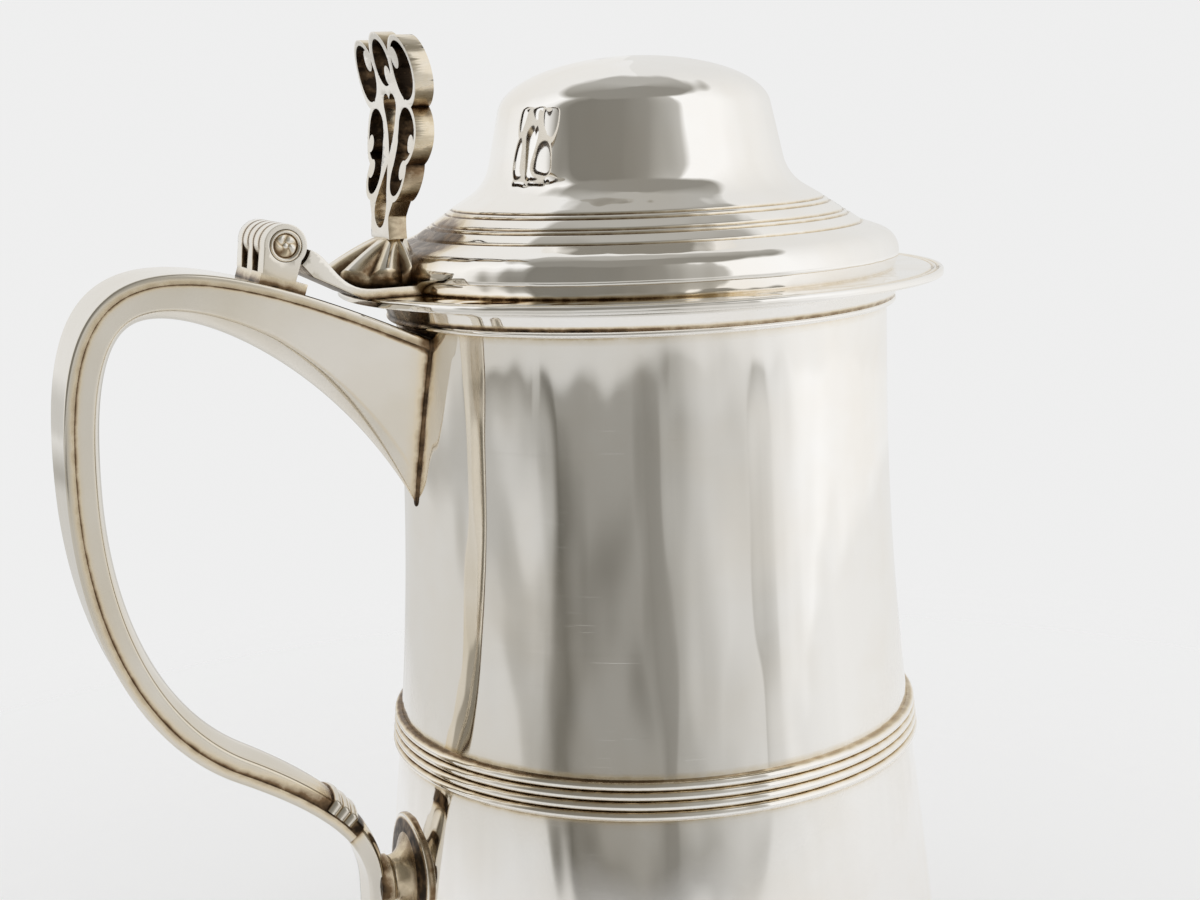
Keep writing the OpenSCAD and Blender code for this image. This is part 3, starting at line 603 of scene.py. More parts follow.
def make_strap():
    """Flat strap along the outer face of the handle: a rectangle with its upper edges rounded."""
    b, q = STRAP_BEVEL, 0.15
    flat_share, root_fall, joint_stain, joint_reach = 0.9, 260 / 2.4, 0.7, 0.25
    right = np.concatenate([arc([-q, STRAP_T - q], q, 90, 0, 4), arc([-b, b], b, 0, -90, 9)])
    left = (right * [-1, 1])[::-1]
    top = np.linspace(flat_share, -flat_share, 19)
    side = np.concatenate([np.ones(len(right)), top, -np.ones(len(left))])
    more = np.concatenate([right[:, 0], 0 * top, left[:, 0]])
    deep = np.concatenate([right[:, 1], 0 * top, left[:, 1]])

    def point(s):
        """Points of the strap's section."""
        return at(s, side * (grip_half(s) + STRAP_LIP) + more, deep)

    s0 = from_drum(point, len(side))
    s = s0 + (SPLIT_S - s0) * np.linspace(0, 1, 170)[:, None]
    root, joint = np.exp(-(s - s0) * root_fall), joint_stain * np.exp(-(STRAP_T - deep) / joint_reach)
    return capped("handle_band", point(s), np.clip(np.maximum(root, joint), 0, 1))


def make_solder():
    """Seam of solder where the handle meets the drum: small circles carried along the line of contact."""
    v, low_edge, under_face, stain = around_bow(20, 5, 24), [STRAP_T * 0.8], 0.1, 0.85
    side = np.concatenate([[-1], np.linspace(-1, 1, 24), [1]])
    deep = np.concatenate([low_edge, np.full(24, under_face), low_edge])

    def curved(s):
        """Sides, edges and keel of the shell."""
        return bow(s, v, 0.0, STRAP_T)

    def outer(s):
        """Outer face and sides of the strap."""
        return at(s, side * (grip_half(s) + STRAP_LIP), deep)

    low, high = curved(from_drum(curved, len(v))), outer(from_drum(outer, len(side)))
    loop = np.concatenate([low, high, low[:1]])
    run = run_along(loop)
    line = follow(loop, run, np.linspace(0, run[-1], 281)[:-1])
    along, out = unit(np.roll(line, -1, 0) - np.roll(line, 1, 0)), unit(line * [1, 1, 0])
    across = np.cross(along, out)
    a = whole_turn(10)[None, :, None]
    grid = line[:, None] + SOLDER_R * (np.cos(a) * out[:, None] + np.sin(a) * across[:, None])
    return sheet("root_solder", grid, np.full((len(line), 1), stain))


def make_collar():
    """Three reeds round the inner side of the handle: the height is the size of a sine along the rail."""
    clear, groove_stain, reed_clean = 0.03, 0.75, 2.2
    i = np.linspace(0, 3, 64)[:, None]
    s = COLLAR_S + COLLAR_L * i / 3
    reed = np.abs(np.sin(np.pi * i))
    v, top = around_bow(10, 6, 22), STRAP_T + COLLAR_T
    grid = np.concatenate([bow(s, v, COLLAR_T + COLLAR_OUT * reed, top), bow(s, v[::-1], clear, top)], 1)
    mark = np.concatenate([groove_stain - reed_clean * reed + 0 * v, 0 * i + 0 * v], 1)
    return capped("collar_reeds", grid, np.clip(mark, -1, 1))


def make_tail():
    """Lower end of the handle, below its joint line: the same section with a flat outer face."""
    v, side, joint_fall = around_bow(12, 6, 24), np.linspace(-1, 1, 12), 60
    s = np.linspace(SPLIT_S, 4, 100)[:, None]
    flat = at(s, side * (grip_half(s) - STRAP_BEVEL), 0 * s)
    grid = np.concatenate([bow(s, v, 0.0, STRAP_BEVEL), flat], 1)
    m = np.concatenate([np.minimum(v, 5 - v), 0 * side])
    # Dark at the joint line, with a painted straw highlight along the edges.
    return capped("tail_curl", grid, np.maximum(np.exp(-(s - SPLIT_S) * joint_fall), painted_edge_glint(m)))


def make_strut():
    """Waisted neck between the plate and the handle.

    A foot follows the plate, a hollow of a quarter ellipse leads up to the waist, and a wider end holds
    the handle.
    """
    t, sunk_in, seam = whole_turn(96), 0.4, 0.6
    flare, wide = PLATE_R - PLATE_EDGE, 1.1 * NECK_R
    reach = float(drum_out(STRUT_Z)) + PLATE_T + STRUT_GAP
    base, waist = reach - STRUT_GAP, reach - STRUT_GAP / 2
    a = np.radians(np.linspace(0, 90, 22))
    cove = np.stack([flare - (flare - NECK_R) * np.sin(a), base + (waist - base) * (1 - np.cos(a))], 1)
    b = np.radians(np.linspace(0, 90, 10))[1:]
    lip_x = waist + (reach - STRUT_GAP / 4 - waist) * np.sin(b)
    lip = np.stack([NECK_R + (wide - NECK_R) * (1 - np.cos(b)), lip_x], 1)
    line = np.concatenate([cove, lip, [[wide, reach + STRUT_SEAT]]])
    r, x = line[:, :1], line[:, 1:] + 0 * t
    y, z = r * np.cos(t), STRUT_Z + r * np.sin(t)
    floor = np.sqrt((drum_out(z[:1]) + PLATE_RIM) ** 2 - y[:1] ** 2)
    x = x + (floor - base) * np.clip((waist - x) / (waist - base), 0, 1)
    x = np.concatenate([floor - sunk_in, x])
    y, z = np.concatenate([y[:1], y]), np.concatenate([z[:1], z])
    marked_at = [base, base + seam, waist, reach - seam, reach]
    mark = np.concatenate([[0.9], np.interp(line[:, 1], marked_at, [0.50, 0.34, 0.28, 0.32, 0.9])])
    return capped("strut_neck", np.stack([-x, y, z], -1), mark[:, None])


def make_plate():
    """Round plate that follows the drum, with a rounded edge."""
    t, rounded = whole_turn(128), PLATE_R - PLATE_ROUND
    face = np.stack([np.linspace(0, rounded, 14), np.full(14, PLATE_RIM)], 1)[:-1]
    edge = arc([rounded, PLATE_RIM - PLATE_ROUND], PLATE_ROUND, 90, 0, 8)
    line = np.concatenate([face, edge, [[PLATE_R, 0.0], [PLATE_R * 0.5, 0.0], [0.0, 0.0]]])
    r, lift = line[:, :1], line[:, 1:]
    y, z = r * np.cos(t), STRUT_Z + r * np.sin(t)
    x = np.sqrt((drum_out(z) + lift) ** 2 - y**2)
    flare = PLATE_R - PLATE_EDGE
    mark = np.interp(line[:, 0], [0, flare - 0.3, flare, PLATE_R - 0.4, PLATE_R], [1, 1, 0.7, -0.3, 0.5])
    return sheet("plate_disc", np.stack([-x, y, z], -1), mark[:, None], wrap_rows=False)


# Castings


def cast(name, node, bevel, stain, levels=2):
    """Merged copy of a solid with its edges rounded and its faces divided.

    The stain function gives the sunk mark from the points and their normals.
    """
    sharp = 35.0
    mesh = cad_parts[node].data.copy()
    mesh.materials.clear()
    work = bmesh.new()
    work.from_mesh(mesh)
    bmesh.ops.remove_doubles(work, verts=work.verts, dist=2e-6)
    bmesh.ops.dissolve_limit(work, angle_limit=np.radians(1.0), verts=work.verts, edges=work.edges)
    work.to_mesh(mesh)
    work.free()
    piece = finish_mesh(name, mesh, sharp)
    edge = piece.modifiers.new("rounded edges", "BEVEL")
    edge.width, edge.segments, edge.limit_method = bevel * MM, 3, "ANGLE"
    edge.angle_limit = np.radians(40)
    edge.use_clamp_overlap = True
    piece.modifiers.new("triangles", "TRIANGULATE")
    split = piece.modifiers.new("divided", "SUBSURF")
    split.subdivision_type, split.levels, split.render_levels = "SIMPLE", levels, levels
    done = bpy.data.meshes.new_from_object(piece.evaluated_get(bpy.context.evaluated_depsgraph_get()))
    bpy.data.objects.remove(piece)
    piece = finish_mesh(name, done, sharp)
    count = len(done.vertices)
    points, normals = np.empty(count * 3), np.empty(count * 3)
    done.vertices.foreach_get("co", points)
    done.vertex_normals.foreach_get("vector", normals)
    mark = np.clip(stain(points.reshape(-1, 3) / MM, normals.reshape(-1, 3)), -1, 1)
    done.attributes.new("sunk", "FLOAT", "POINT").data.foreach_set("value", mark)
    return piece


def near_lugs(p):
    """Stain beside the gaps between the hinge lugs, within 6 mm of the axis."""
    reach, full_r, fade_r, lugs_half = 0.35, 4.5, 1.5, 2.2
    pitch = LUG_W + LUG_GAP
    off = np.abs((p[:, 1] / pitch) % 1 - 0.5) * pitch
    axis = np.hypot(p[:, 0] + HINGE_U, p[:, 2] - HINGE_Z)
    close = np.clip(1 - (axis - full_r) / fade_r, 0, 1)
    return np.exp(-off / reach) * close * (np.abs(p[:, 1]) < lugs_half * pitch)


def leaf_stain_and_shade(p, n):
    """Dark along the lid and beside the lugs, and painted shade on the faces that look down under the leaf.
    """
    lid_reach, under = 0.6, 0.8
    along_lid = np.maximum(np.exp(-(p[:, 2] - LEAF_Z) / lid_reach), near_lugs(p))
    # Faces turned downwards get painted shade; the line along the lid and beside the lugs is tarnish in the
    # joints.
    return np.maximum(along_lid, under * np.clip(-n[:, 2], 0, 1))


def block_stain(p, n):
    """Dark where the block stands on the strap, and beside the lugs."""
    strap_reach = 0.9
    strap_z = np.interp(-p[:, 0], RISE[:, 0], RISE[:, 1])
    return np.maximum(np.exp(-np.maximum(p[:, 2] - strap_z, 0) / strap_reach), near_lugs(p))


def no_stain(p, n):
    """Clean all over."""
    return 0 * p[:, 0]


def make_fan():
    """Shell under the thumbpiece: round lobes fan out from an oval top towards the hinge.

    A lobe is the size of a cosine of the turn. The rim stands further out in front than behind, and the
    height falls along a power of the way to it. Below the rim the edge curls in.
    """
    a = np.linspace(-np.pi, np.pi, 281)[:-1]
    q, b = np.linspace(0, 1, 34)[:, None], np.linspace(0, 1, 7)[1:, None]
    fall, foot_z, set_out = PLINTH_Z - LEAF_Z - FAN_RIM_UP, LEAF_Z + FAN_FOOT_UP, THUMB_U + FAN_AHEAD
    fan_end, fan_fade, scallop, ridge = np.radians(112), np.radians(16), 0.10, 1.1
    lobe = np.abs(np.cos(a * 180 / FAN_PITCH))
    part = np.clip((fan_end - np.abs(a)) / fan_fade, 0, 1)
    rim = (FAN_BACK + FAN_OUT * np.maximum(np.cos(a / 2), 0) ** 1.2) * (1 + scallop * part * (lobe - 0.6))
    out, side = FAN_TOP_OUT * np.cos(a), FAN_TOP_HALF * np.sin(a)
    out, side = out + (rim * np.cos(a) - out) * q, side + (rim * np.sin(a) - side) * q
    high = PLINTH_Z - fall * q**1.12 + ridge * part * (lobe - 0.55) * np.sin(np.pi * q / 2)
    curl = 1 + 0.03 * np.sin(np.pi * b) - 0.16 * b**2
    out, side = np.concatenate([out, out[-1:] * curl]), np.concatenate([side, side[-1:] * curl])
    high = np.concatenate([high, high[-1:] + (foot_z - high[-1:]) * b])
    between = 0.95 * part * (1 - lobe) ** 0.9 * q**0.4 + 0.25 * np.exp(-q / 0.06)
    # The curl under the rim darkens towards the lid: painted shade under the overhanging rim. The mark
    # between the lobes and at the top is tarnish.
    mark = np.concatenate([between, 0.35 + 0.65 * b + 0 * a])
    return capped("shell_flutes", np.stack([-set_out - out, side, high], -1), mark)


# Circles of the thumbpiece's lobes: distance across, height over the plinth and radius
LOBES = np.array([[6.9, 11.4, 4.7], [9.1, 18.7, 5.8], [10.9, 29.6, 6.4], [0.0, 30.7, 6.3]])


def fret_stain(p, n):
    """Black on the walls of the openings.

    The scalloped edge lies on the circles of the lobes, and is dark only where two of them meet.
    """
    y, v = np.abs(p[:, 1]), p[:, 2] - PLINTH_Z
    away = np.sort(np.hypot(y[:, None] - LOBES[:, 0], v[:, None] - LOBES[:, 1]) - LOBES[:, 2], axis=1)
    outer = (away[:, 0] > -0.55) | ((v < 8) & (y > 4.4))
    notch = 0.13 + 0.82 * np.exp(-(away[:, 1] - away[:, 0]) / 1.5) + 0.12 * np.clip((20 - v) / 10, 0, 1)
    sideways = np.clip(1.35 - 1.6 * np.abs(n[:, 0]), 0, 1)
    return sideways * np.where(outer, np.where(v < 6, 0.35, notch), 0.95)


def make_thumbpiece():
    """Pierced casting that leans towards the hinge by the square of the height, and narrows upwards."""
    piece = cast("thumb_fret", "thumbpiece", 0.3, fret_stain, 1)
    points = np.empty(len(piece.data.vertices) * 3)
    piece.data.vertices.foreach_get("co", points)
    p = points.reshape(-1, 3)
    up = np.maximum(p[:, 2] / MM - PLINTH_Z, 0) / THUMB_H
    p[:, 0] -= THUMB_LEAN * MM * up**2
    p[:, 1] *= 1 - THUMB_NARROW * up
    piece.data.vertices.foreach_set("co", points)
    piece.data.update()
    return piece


def half_round(r, middle, half):
    """Height of a half circle over the distance from its middle, as a share of its own height."""
    return np.sqrt(np.clip(1 - ((r - middle) / half) ** 2, 0, 1))


def make_rosette(name, side):
    """Pin end: a raised rim round a worn flower.

    Over radius r and angle t, the rim and the boss are half rounds, and the petals are a cosine of five
    half turns that slips with r.
    """
    r = np.concatenate([np.linspace(0, CAP_R - 0.05, 34), [CAP_R - 0.02, CAP_R - 0.02, 0.0]])[:, None]
    t = whole_turn(120)
    rim = ROSE_RIM_H * half_round(r, ROSE_RIM_R, ROSE_RIM_HALF)
    boss = ROSE_BOSS_H * half_round(r, 0, ROSE_BOSS_R)
    worn = 1 + 0.35 * np.sin(t + 0.7) + 0.25 * np.sin(2 * t + 2.1 * r)
    flower = 0.35 + 0.65 * np.abs(np.cos(2.5 * t + 0.8 * r))
    petal = ROSE_PETAL_H * worn * half_round(r, ROSE_PETAL_R, ROSE_PETAL_HALF) * flower
    lifted = np.maximum(np.maximum(boss, petal), rim + 0 * t)
    lift = CAP_T - ROSE_SUNK + lifted
    lift[-2:] = 0.05
    deep = lift - lift[:-2].max()
    mark = np.maximum(np.clip(0.75 - 3.4 * lifted, -0.3, 1), 0.9 * np.exp(-np.abs(r - CAP_R) / 0.12))
    across = side * (HINGE_W / 2 + ROSE_OUT + deep)
    grid = np.stack([-HINGE_U + r * np.cos(t), across, HINGE_Z + r * np.sin(t)], -1)
    return sheet(name, grid, mark, wrap_rows=False)


# Silver


def link(tree, *pairs):
    """Joins each output to its input."""
    for a, b in pairs:
        tree.links.new(a, b)


def add(tree, kind, **values):
    """Node of the given kind, with the given values set on it."""
    node = tree.nodes.new(kind)
    for name, value in values.items():
        setattr(node, name, value)
    return node


def sockets(group, inputs, outputs):
    """Gives a node group its named inputs and outputs, and returns its two end nodes."""
    for way, table in (("INPUT", inputs), ("OUTPUT", outputs)):
        for name, kind in table:
            group.interface.new_socket(name, in_out=way, socket_type="NodeSocket" + kind)
    return group.nodes.new("NodeGroupInput"), group.nodes.new("NodeGroupOutput")


def ramp(tree, source, stops):
    """Colour ramp with the given (position, grey) stops."""
    node = add(tree, "ShaderNodeValToRGB")
    bar = node.color_ramp.elements
    while len(bar) < len(stops):
        bar.new(0.5)
    for stop, (position, grey) in zip(bar, stops):
        stop.position, stop.color = position, (grey, grey, grey, 1)
    link(tree, (source, node.inputs["Fac"]))
    return node.outputs["Color"]


def calc(tree, operation, *terms):
    """Math node; each term is a socket or a number."""
    node = add(tree, "ShaderNodeMath", operation=operation)
    for socket, term in zip(node.inputs, terms):
        if isinstance(term, (int, float)):
            socket.default_value = term
        else:
            link(tree, (term, socket))
    return node.outputs[0]


def noise(tree, where, scale, detail=3.0, rough=0.55, stretch=None, turn=(0, 0, 0)):
    """Noise on the given coordinates, stretched and turned by a mapping if asked."""
    if stretch is not None:
        node = add(tree, "ShaderNodeMapping")
        node.inputs["Scale"].default_value = stretch
        node.inputs["Rotation"].default_value = turn
        link(tree, (where, node.inputs["Vector"]))
        where = node.outputs["Vector"]
    node = add(tree, "ShaderNodeTexNoise")
    for name, value in (("Scale", scale), ("Detail", detail), ("Roughness", rough)):
        node.inputs[name].default_value = value
    link(tree, (where, node.inputs["Vector"]))
    return node.outputs["Fac"]


def blend(tree, share, a, b):
    """Colour mix; a and b are sockets or colours."""
    node = add(tree, "ShaderNodeMix", data_type="RGBA")
    for socket, v in ((node.inputs[0], share), (node.inputs[6], a), (node.inputs[7], b)):
        if hasattr(v, "links"):
            link(tree, (v, socket))
        else:
            socket.default_value = v
    return node.outputs[2]


STRAW, BROWN, BLACK = (0.78, 0.67, 0.49, 1), (0.24, 0.155, 0.085, 1), (0.030, 0.020, 0.013, 1)


def tarnish_and_painted_light_group():
    """Tarnish, with the painted shade, shadow and highlight that share its mark: the sunk mark, broken up by
    noise, turns the open colour to straw, then brown, then black.

    A slow noise warms the open surface.
    """
    tree = bpy.data.node_groups.new("tarnish and painted light", "ShaderNodeTree")
    inputs = [("Sunk", "Float"), ("Amount", "Float"), ("Where", "Vector")]
    inputs += [("Bright", "Color"), ("Warm", "Color")]
    i, o = sockets(tree, inputs, [("Colour", "Color"), ("Dark", "Float")])
    broken = noise(tree, i.outputs["Where"], 420.0, 4.0, 0.6)
    slow = noise(tree, i.outputs["Where"], 38.0, 3.0)
    held = calc(tree, "MULTIPLY", calc(tree, "MAXIMUM", i.outputs["Sunk"], 0.0), i.outputs["Amount"])
    dark = calc(tree, "MULTIPLY", held, ramp(tree, broken, [(0.28, 0.55), (0.60, 1.0)]))
    warmth = ramp(tree, slow, [(0.42, 0.0), (0.72, 1.0)])
    colour = blend(tree, warmth, i.outputs["Bright"], i.outputs["Warm"])
    for start, end, stain in ((0.0, 0.20, STRAW), (0.16, 0.50, BROWN), (0.45, 0.90, BLACK)):
        colour = blend(tree, ramp(tree, dark, [(start, 0.0), (end, 1.0)]), colour, stain)
    link(tree, (colour, o.inputs["Colour"]), (dark, o.inputs["Dark"]))
    return tree


def wear_group():
    """Wear: two sets of fine scratches from noise drawn out along lines, and the hammer's slow waves.

    The waves are longer upright than they are wide.
    """
    tree = bpy.data.node_groups.new("scratches and waves", "ShaderNodeTree")
    i, o = sockets(tree, [("Where", "Vector")], [("Scratch", "Float"), ("Wave", "Float"), ("Haze", "Float")])
    where = i.outputs["Where"]
    drawn = [noise(tree, where, 1.0, 1.0, 0.5, stretch, turn)
             for stretch, turn in (((60, 60, 5200), (0.5, 0.3, 0)), ((4600, 60, 80), (0.2, 0.7, 0.4)))]
    one = ramp(tree, drawn[0], [(0.73, 0.0), (0.80, 1.0)])
    two = ramp(tree, drawn[1], [(0.72, 0.0), (0.79, 1.0)])
    patch = ramp(tree, noise(tree, where, 55.0, 2.0), [(0.45, 0.0), (0.65, 1.0)])
    link(tree, (calc(tree, "MULTIPLY", calc(tree, "MAXIMUM", one, two), patch), o.inputs["Scratch"]),
         (noise(tree, where, 62.0, 2.0, 0.45, (1, 1, 0.16)), o.inputs["Wave"]),
         (noise(tree, where, 160.0, 3.0), o.inputs["Haze"]))
    return tree


TARNISH_AND_PAINTED_LIGHT, WEAR = tarnish_and_painted_light_group(), wear_group()


def silver(name, bright, warm, rough, amount, wave, metal=1.0):
    """Worn silver: a bright metal, warmed in patches, dark in hollows, with scratches, haze and waves.

    The wave is its height in millimetres. A lower metal share gives the dull white of silver that is never
    polished.
    """
    material = bpy.data.materials.new(name)
    material.use_nodes = True
    tree = material.node_tree
    shader = tree.nodes["Principled BSDF"]
    shader.inputs["Metallic"].default_value = metal
    where = add(tree, "ShaderNodeTexCoord").outputs["Object"]
    mark = add(tree, "ShaderNodeAttribute", attribute_name="sunk").outputs["Fac"]
    stain = add(tree, "ShaderNodeGroup", node_tree=TARNISH_AND_PAINTED_LIGHT)
    wear = add(tree, "ShaderNodeGroup", node_tree=WEAR)
    stain.inputs["Amount"].default_value = amount
    stain.inputs["Bright"].default_value = bright
    stain.inputs["Warm"].default_value = warm
    link(tree, (where, stain.inputs["Where"]), (where, wear.inputs["Where"]), (mark, stain.inputs["Sunk"]))
    hazy = calc(tree, "MULTIPLY_ADD", wear.outputs["Haze"], 0.06, rough - 0.03)
    scratched = calc(tree, "MULTIPLY_ADD", wear.outputs["Scratch"], 0.05, hazy)
    stained = calc(tree, "MULTIPLY_ADD", stain.outputs["Dark"], 0.34, scratched)
    slow = add(tree, "ShaderNodeBump")
    slow.inputs["Distance"].default_value = wave * MM
    slow.inputs["Strength"].default_value = 1.0
    fine = add(tree, "ShaderNodeBump", invert=True)
    fine.inputs["Distance"].default_value = 0.003 * MM
    fine.inputs["Strength"].default_value = 0.3
    link(tree, (stain.outputs["Colour"], shader.inputs["Base Color"]), (stained, shader.inputs["Roughness"]),
         (wear.outputs["Wave"], slow.inputs["Height"]), (wear.outputs["Scratch"], fine.inputs["Height"]),
         (slow.outputs["Normal"], fine.inputs["Normal"]), (fine.outputs["Normal"], shader.inputs["Normal"]))
    return material


raised = silver("raised silver", (0.955, 0.94, 0.915, 1), (0.925, 0.89, 0.835, 1), 0.048, 0.9, 1.35)
grip = silver("handle silver", (0.785, 0.745, 0.675, 1), (0.72, 0.665, 0.565, 1), 0.11, 0.9, 0.20)
dull = silver("dull silver inside", (0.80, 0.775, 0.725, 1), (0.72, 0.675, 0.59, 1), 0.34, 0.9, 0.40, 0.45)
poured = silver("cast silver", (0.85, 0.82, 0.765, 1), (0.75, 0.69, 0.59, 1), 0.14, 1.0, 0.10)
wire = silver("hinge wire", (0.74, 0.71, 0.66, 1), (0.60, 0.55, 0.48, 1), 0.30, 1.0, 0.05)


# Assembly


def place(piece, body, material, slot, *nodes):
    """Gives a piece its silver, hides the nodes that it stands for and attaches it to the body that it moves
    with.
    """
    piece.data.materials.append(material)
    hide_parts(*nodes)
    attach(piece, body)


def line_drum(piece):
    """Faces of the drum that lie closer to its inner line than to its outer one take the dull silver."""
    middle = np.empty(len(piece.data.polygons) * 3)
    piece.data.polygons.foreach_get("center", middle)
    x, y, z = middle.reshape(-1, 3).T / MM
    inside = np.hypot(x, y) < drum_out(z) - 0.7 * DRUM_WALL
    piece.data.materials.append(dull)
    piece.data.polygons.foreach_set("material_index", inside.astype(np.int32))


drum_wall = make_drum()
place(drum_wall, "tankard", raised, "raised_silver", "drum")
line_drum(drum_wall)
place(make_bottom(), "tankard", dull, "raised_silver", "bottom_plate")
place(make_rim(), "tankard", raised, "raised_silver", "rim_band")
place(make_girdle(), "tankard", raised, "raised_silver", "girdle_band")
place(make_foot(), "tankard", raised, "raised_silver", "foot_ring")
place(make_shell(), "tankard", grip, "raised_silver", "handle_shell")
place(make_solder(), "tankard", poured, "cast_silver", "handle_shell")
place(make_strap(), "tankard", grip, "raised_silver", "handle_strap")
place(make_collar(), "tankard", grip, "cast_silver", "handle_collar")
place(make_tail(), "tankard", grip, "cast_silver", "tail_scroll")
place(make_strut(), "tankard", poured, "cast_silver", "lower_strut")
place(make_plate(), "tankard", poured, "cast_silver", "strut_plate")
place(make_lid(), "lid", raised, "raised_silver", "lid_cover")
place(make_bezel(), "lid", dull, "raised_silver", "lid_bezel")
for rosette, side in (("rosette_near", -1), ("rosette_far", 1)):
    place(make_rosette(rosette, side), "tankard", poured, "cast_silver", "pin_caps")

leaf_strap = cast("leaf_strap", "lid_leaf", 0.25, leaf_stain_and_shade)
place(leaf_strap, "lid", poured, "cast_silver", "lid_leaf")
block_lugs = cast("block_lugs", "hinge_block", 0.25, block_stain)
place(block_lugs, "tankard", poured, "cast_silver", "hinge_block")
place(make_fan(), "lid", poured, "cast_silver", "shell_plinth")
place(make_thumbpiece(), "lid", poured, "cast_silver", "thumbpiece")
tail_cap = cast("tail_cap", "tail_button", 0.4, no_stain)
place(tail_cap, "tankard", poured, "cast_silver", "tail_button")
hinge_rod = cast("hinge_rod", "hinge_pin", 0.2, no_stain)
place(hinge_rod, "tankard", wire, "hinge_wire", "hinge_pin")


# Studio

FLOOR_R, FLOOR_DROP = 1200, 0.02

# Camera: place in millimetres, then heading clockwise from +Y, pitch down and roll in degrees
CAMERA_PLACE = (-147.9, -317.2, 189.3)
CAMERA_TURN = (23.52, 11.02, 2.20)
CAMERA_LENS, CAMERA_SENSOR = 53.37, 36.0

# Greys of the tent, by degrees round from the front
TABLE = [(-110, 0.66), (20, 0.60), (45, 0.72), (95, 0.86), (170, 0.80)]
LOW_GAP = [(-60, 0.46), (-47, 0.36), (-38, 0.10), (-5, 0.12), (10, 0.15), (22, 0.33), (45, 0.62), (70, 0.9),
           (85, 1.0), (170, 0.84)]
GAP = [(-125, 0.90), (-105, 0.78), (-90, 0.58), (-86, 0.24), (-56, 0.20), (-54.5, 0.46), (-50.5, 0.46),
       (-49, 0.13), (-40, 0.16), (-38, 0.29), (-4, 0.31), (0, 0.24), (8, 0.27), (10, 0.38), (20, 0.50),
       (38, 0.66), (45, 0.68), (46, 0.42), (55, 0.46), (57, 0.72), (70, 0.92), (85, 1.0), (170, 0.84)]
STRIP = [(-110, 0.62), (10, 0.62), (30, 0.70), (60, 0.85), (95, 0.94), (170, 0.82)]
ROOM = [(-130, 0.85), (-88, 1.0), (-77, 0.88), (-66, 0.32), (-54, 0.20), (-10, 0.22), (10, 0.28), (26, 0.42),
        (36, 0.50), (42, 1.0), (75, 1.0), (110, 0.90), (170, 0.78)]
TOP = [(-150, 0.44), (-90, 0.27), (90, 0.27), (150, 0.44)]

# How much the table's far edge is moved, by the same degrees
EDGE_MOVE = [(-52, 0.0), (-28, 0.025), (30, 0.025), (50, 0.0)]

# Heights on the tent run over the sine of the elevation, from below the horizon to the top
SINE_BELOW, SINE_SPAN = 0.3, 1.3

# Powers that turn a grey warmer as it darkens
WARM_POWERS = (0.97, 1.0, 1.08)
EVEN_LIGHT, BACKDROP = (0.80, 0.80, 0.80, 1), (0.86, 0.86, 0.86, 1)


def make_floor():
    """Pale disc whose edge fades out, so that the floor ends without a line."""
    r = np.linspace(0, FLOOR_R, 40)
    grid = carried_round(np.stack([r, 0 * r - FLOOR_DROP], 1), 96)
    floor = sheet("floor", grid, np.zeros((40, 1)), wrap_rows=False)
    material = bpy.data.materials.new("pale floor")
    material.use_nodes = True
    tree = material.node_tree
    shader = tree.nodes["Principled BSDF"]
    shader.inputs["Base Color"].default_value = (0.92, 0.92, 0.92, 1)
    shader.inputs["Roughness"].default_value = 0.7
    where = add(tree, "ShaderNodeTexCoord").outputs["Object"]
    far = add(tree, "ShaderNodeVectorMath", operation="LENGTH")
    clear = add(tree, "ShaderNodeBsdfTransparent")
    both = add(tree, "ShaderNodeMixShader")
    link(tree, (where, far.inputs[0]))
    fade = ramp(tree, far.outputs["Value"], [(0.18, 0.0), (0.34, 1.0)])
    link(tree, (fade, both.inputs[0]), (shader.outputs[0], both.inputs[1]),
         (clear.outputs[0], both.inputs[2]),
         (both.outputs[0], tree.nodes["Material Output"].inputs["Surface"]))
    floor.data.materials.append(material)


def height(degrees):
    """Position of an elevation on a ramp over the tent's height."""
    return float((np.sin(np.radians(degrees)) + SINE_BELOW) / SINE_SPAN)


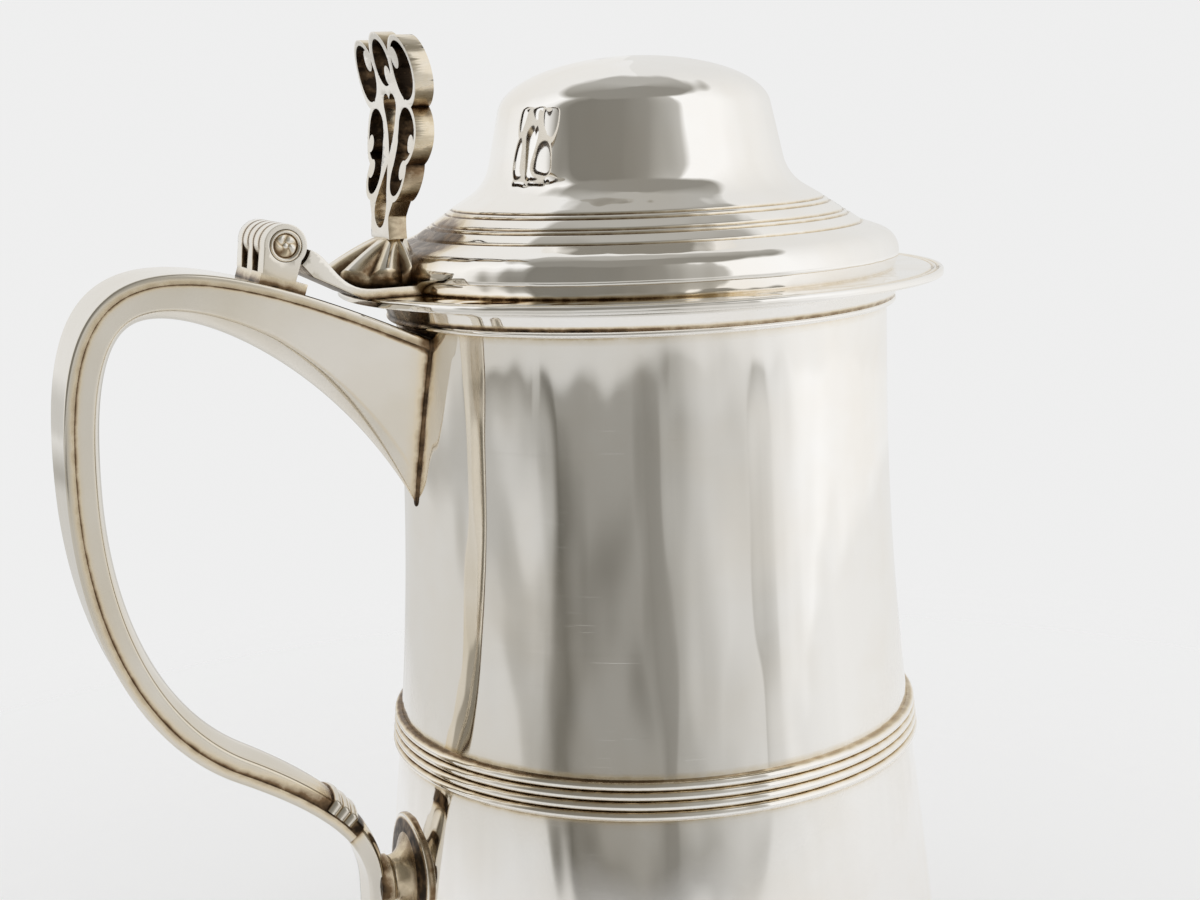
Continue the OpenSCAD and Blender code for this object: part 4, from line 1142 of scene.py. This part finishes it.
def make_world(front):
    """Pale tent with a grey room in front.

    Going up there are the table, a dark gap, a pale strip, the room and the dark top. Greys turn warmer as
    they darken. The camera sees plain pale grey, and the floor gets even light.
    """
    world = bpy.data.worlds.new("tent")
    bpy.context.scene.world = world
    world.use_nodes = True
    tree = world.node_tree
    tree.nodes.clear()
    turn = add(tree, "ShaderNodeMapping")
    turn.inputs["Rotation"].default_value = (0, 0, -front)
    way = add(tree, "ShaderNodeSeparateXYZ")
    direction = add(tree, "ShaderNodeTexCoord").outputs["Generated"]
    link(tree, (direction, turn.inputs["Vector"]), (turn.outputs["Vector"], way.inputs[0]))
    round_front = calc(tree, "ARCTAN2", way.outputs["Y"], way.outputs["X"])
    angle = calc(tree, "MULTIPLY_ADD", round_front, 0.5 / np.pi, 0.5)
    up = calc(tree, "MULTIPLY_ADD", way.outputs["Z"], 1 / SINE_SPAN, SINE_BELOW / SINE_SPAN)

    def around(stops):
        """Greys round the tent."""
        return ramp(tree, angle, [(0.5 + a / 360, grey) for a, grey in stops])

    def above(where, start, end, below, over):
        """One band over another, blended between two elevations."""
        rise = ramp(tree, where, [(height(start), 0.0), (height(end), 1.0)])
        return blend(tree, rise, below, over)

    edge = calc(tree, "ADD", up, around(EDGE_MOVE))
    gap = above(edge, -10.2, -8.4, around(LOW_GAP), around(GAP))
    sky = above(edge, -11.0, -10.7, around(TABLE), gap)
    sky = above(up, -8.7, -8.4, sky, around(STRIP))
    sky = above(up, -6.0, -4.0, sky, around(ROOM))
    sky = above(up, 54, 60, sky, around(TOP))
    tint = add(tree, "ShaderNodeCombineXYZ")
    for channel, power in zip(tint.inputs, WARM_POWERS):
        link(tree, (calc(tree, "POWER", sky, power), channel))
    path = add(tree, "ShaderNodeLightPath")
    seen = blend(tree, path.outputs["Is Glossy Ray"], EVEN_LIGHT, tint.outputs[0])
    seen = blend(tree, path.outputs["Is Camera Ray"], seen, BACKDROP)
    light = add(tree, "ShaderNodeBackground")
    light.inputs["Strength"].default_value = 1.0
    surface = add(tree, "ShaderNodeOutputWorld").inputs["Surface"]
    link(tree, (seen, light.inputs["Color"]), (light.outputs[0], surface))


def make_camera():
    """Camera of the photograph, from its place, heading, pitch and roll."""
    heading, pitch, roll = np.radians(CAMERA_TURN)
    level = np.cos(pitch)
    ahead = np.array([np.sin(heading) * level, np.cos(heading) * level, -np.sin(pitch)])
    right = np.array([np.cos(heading), -np.sin(heading), 0.0])
    down = np.cross(ahead, right)
    across, under = np.cos(roll) * right + np.sin(roll) * down, np.cos(roll) * down - np.sin(roll) * right
    pose = np.eye(4)
    pose[:3] = np.stack([across, -under, -ahead, np.array(CAMERA_PLACE) * MM], 1)
    data = bpy.data.cameras.new("camera")
    data.sensor_width, data.lens = CAMERA_SENSOR, CAMERA_LENS
    data.clip_start, data.clip_end = 0.01, 50.0
    camera = bpy.data.objects.new("camera", data)
    camera.matrix_world = Matrix(pose.tolist())
    bpy.context.scene.collection.objects.link(camera)
    bpy.context.scene.camera = camera


def make_lamp(name, stand, aim, size, power):
    """Soft square lamp that stands at one point, in metres, and is turned towards another."""
    data = bpy.data.lights.new(name, "AREA")
    data.size, data.energy = size, power
    lamp = bpy.data.objects.new(name, data)
    away = unit(np.array(stand) - np.array(aim))
    side = unit(np.cross([0, 0, 1], away))
    pose = np.eye(4)
    pose[:3] = np.stack([side, np.cross(away, side), away, np.array(stand)], 1)
    lamp.matrix_world = Matrix(pose.tolist())
    lamp.visible_glossy = False
    bpy.context.scene.collection.objects.link(lamp)


bpy.context.scene.view_settings.view_transform = "Standard"
make_floor()
make_world(np.arctan2(CAMERA_PLACE[1], CAMERA_PLACE[0]))
make_camera()
make_lamp("soft lamp above", (0.35, 0.25, 1.2), (0, 0, 0.1), 0.9, 2.6)
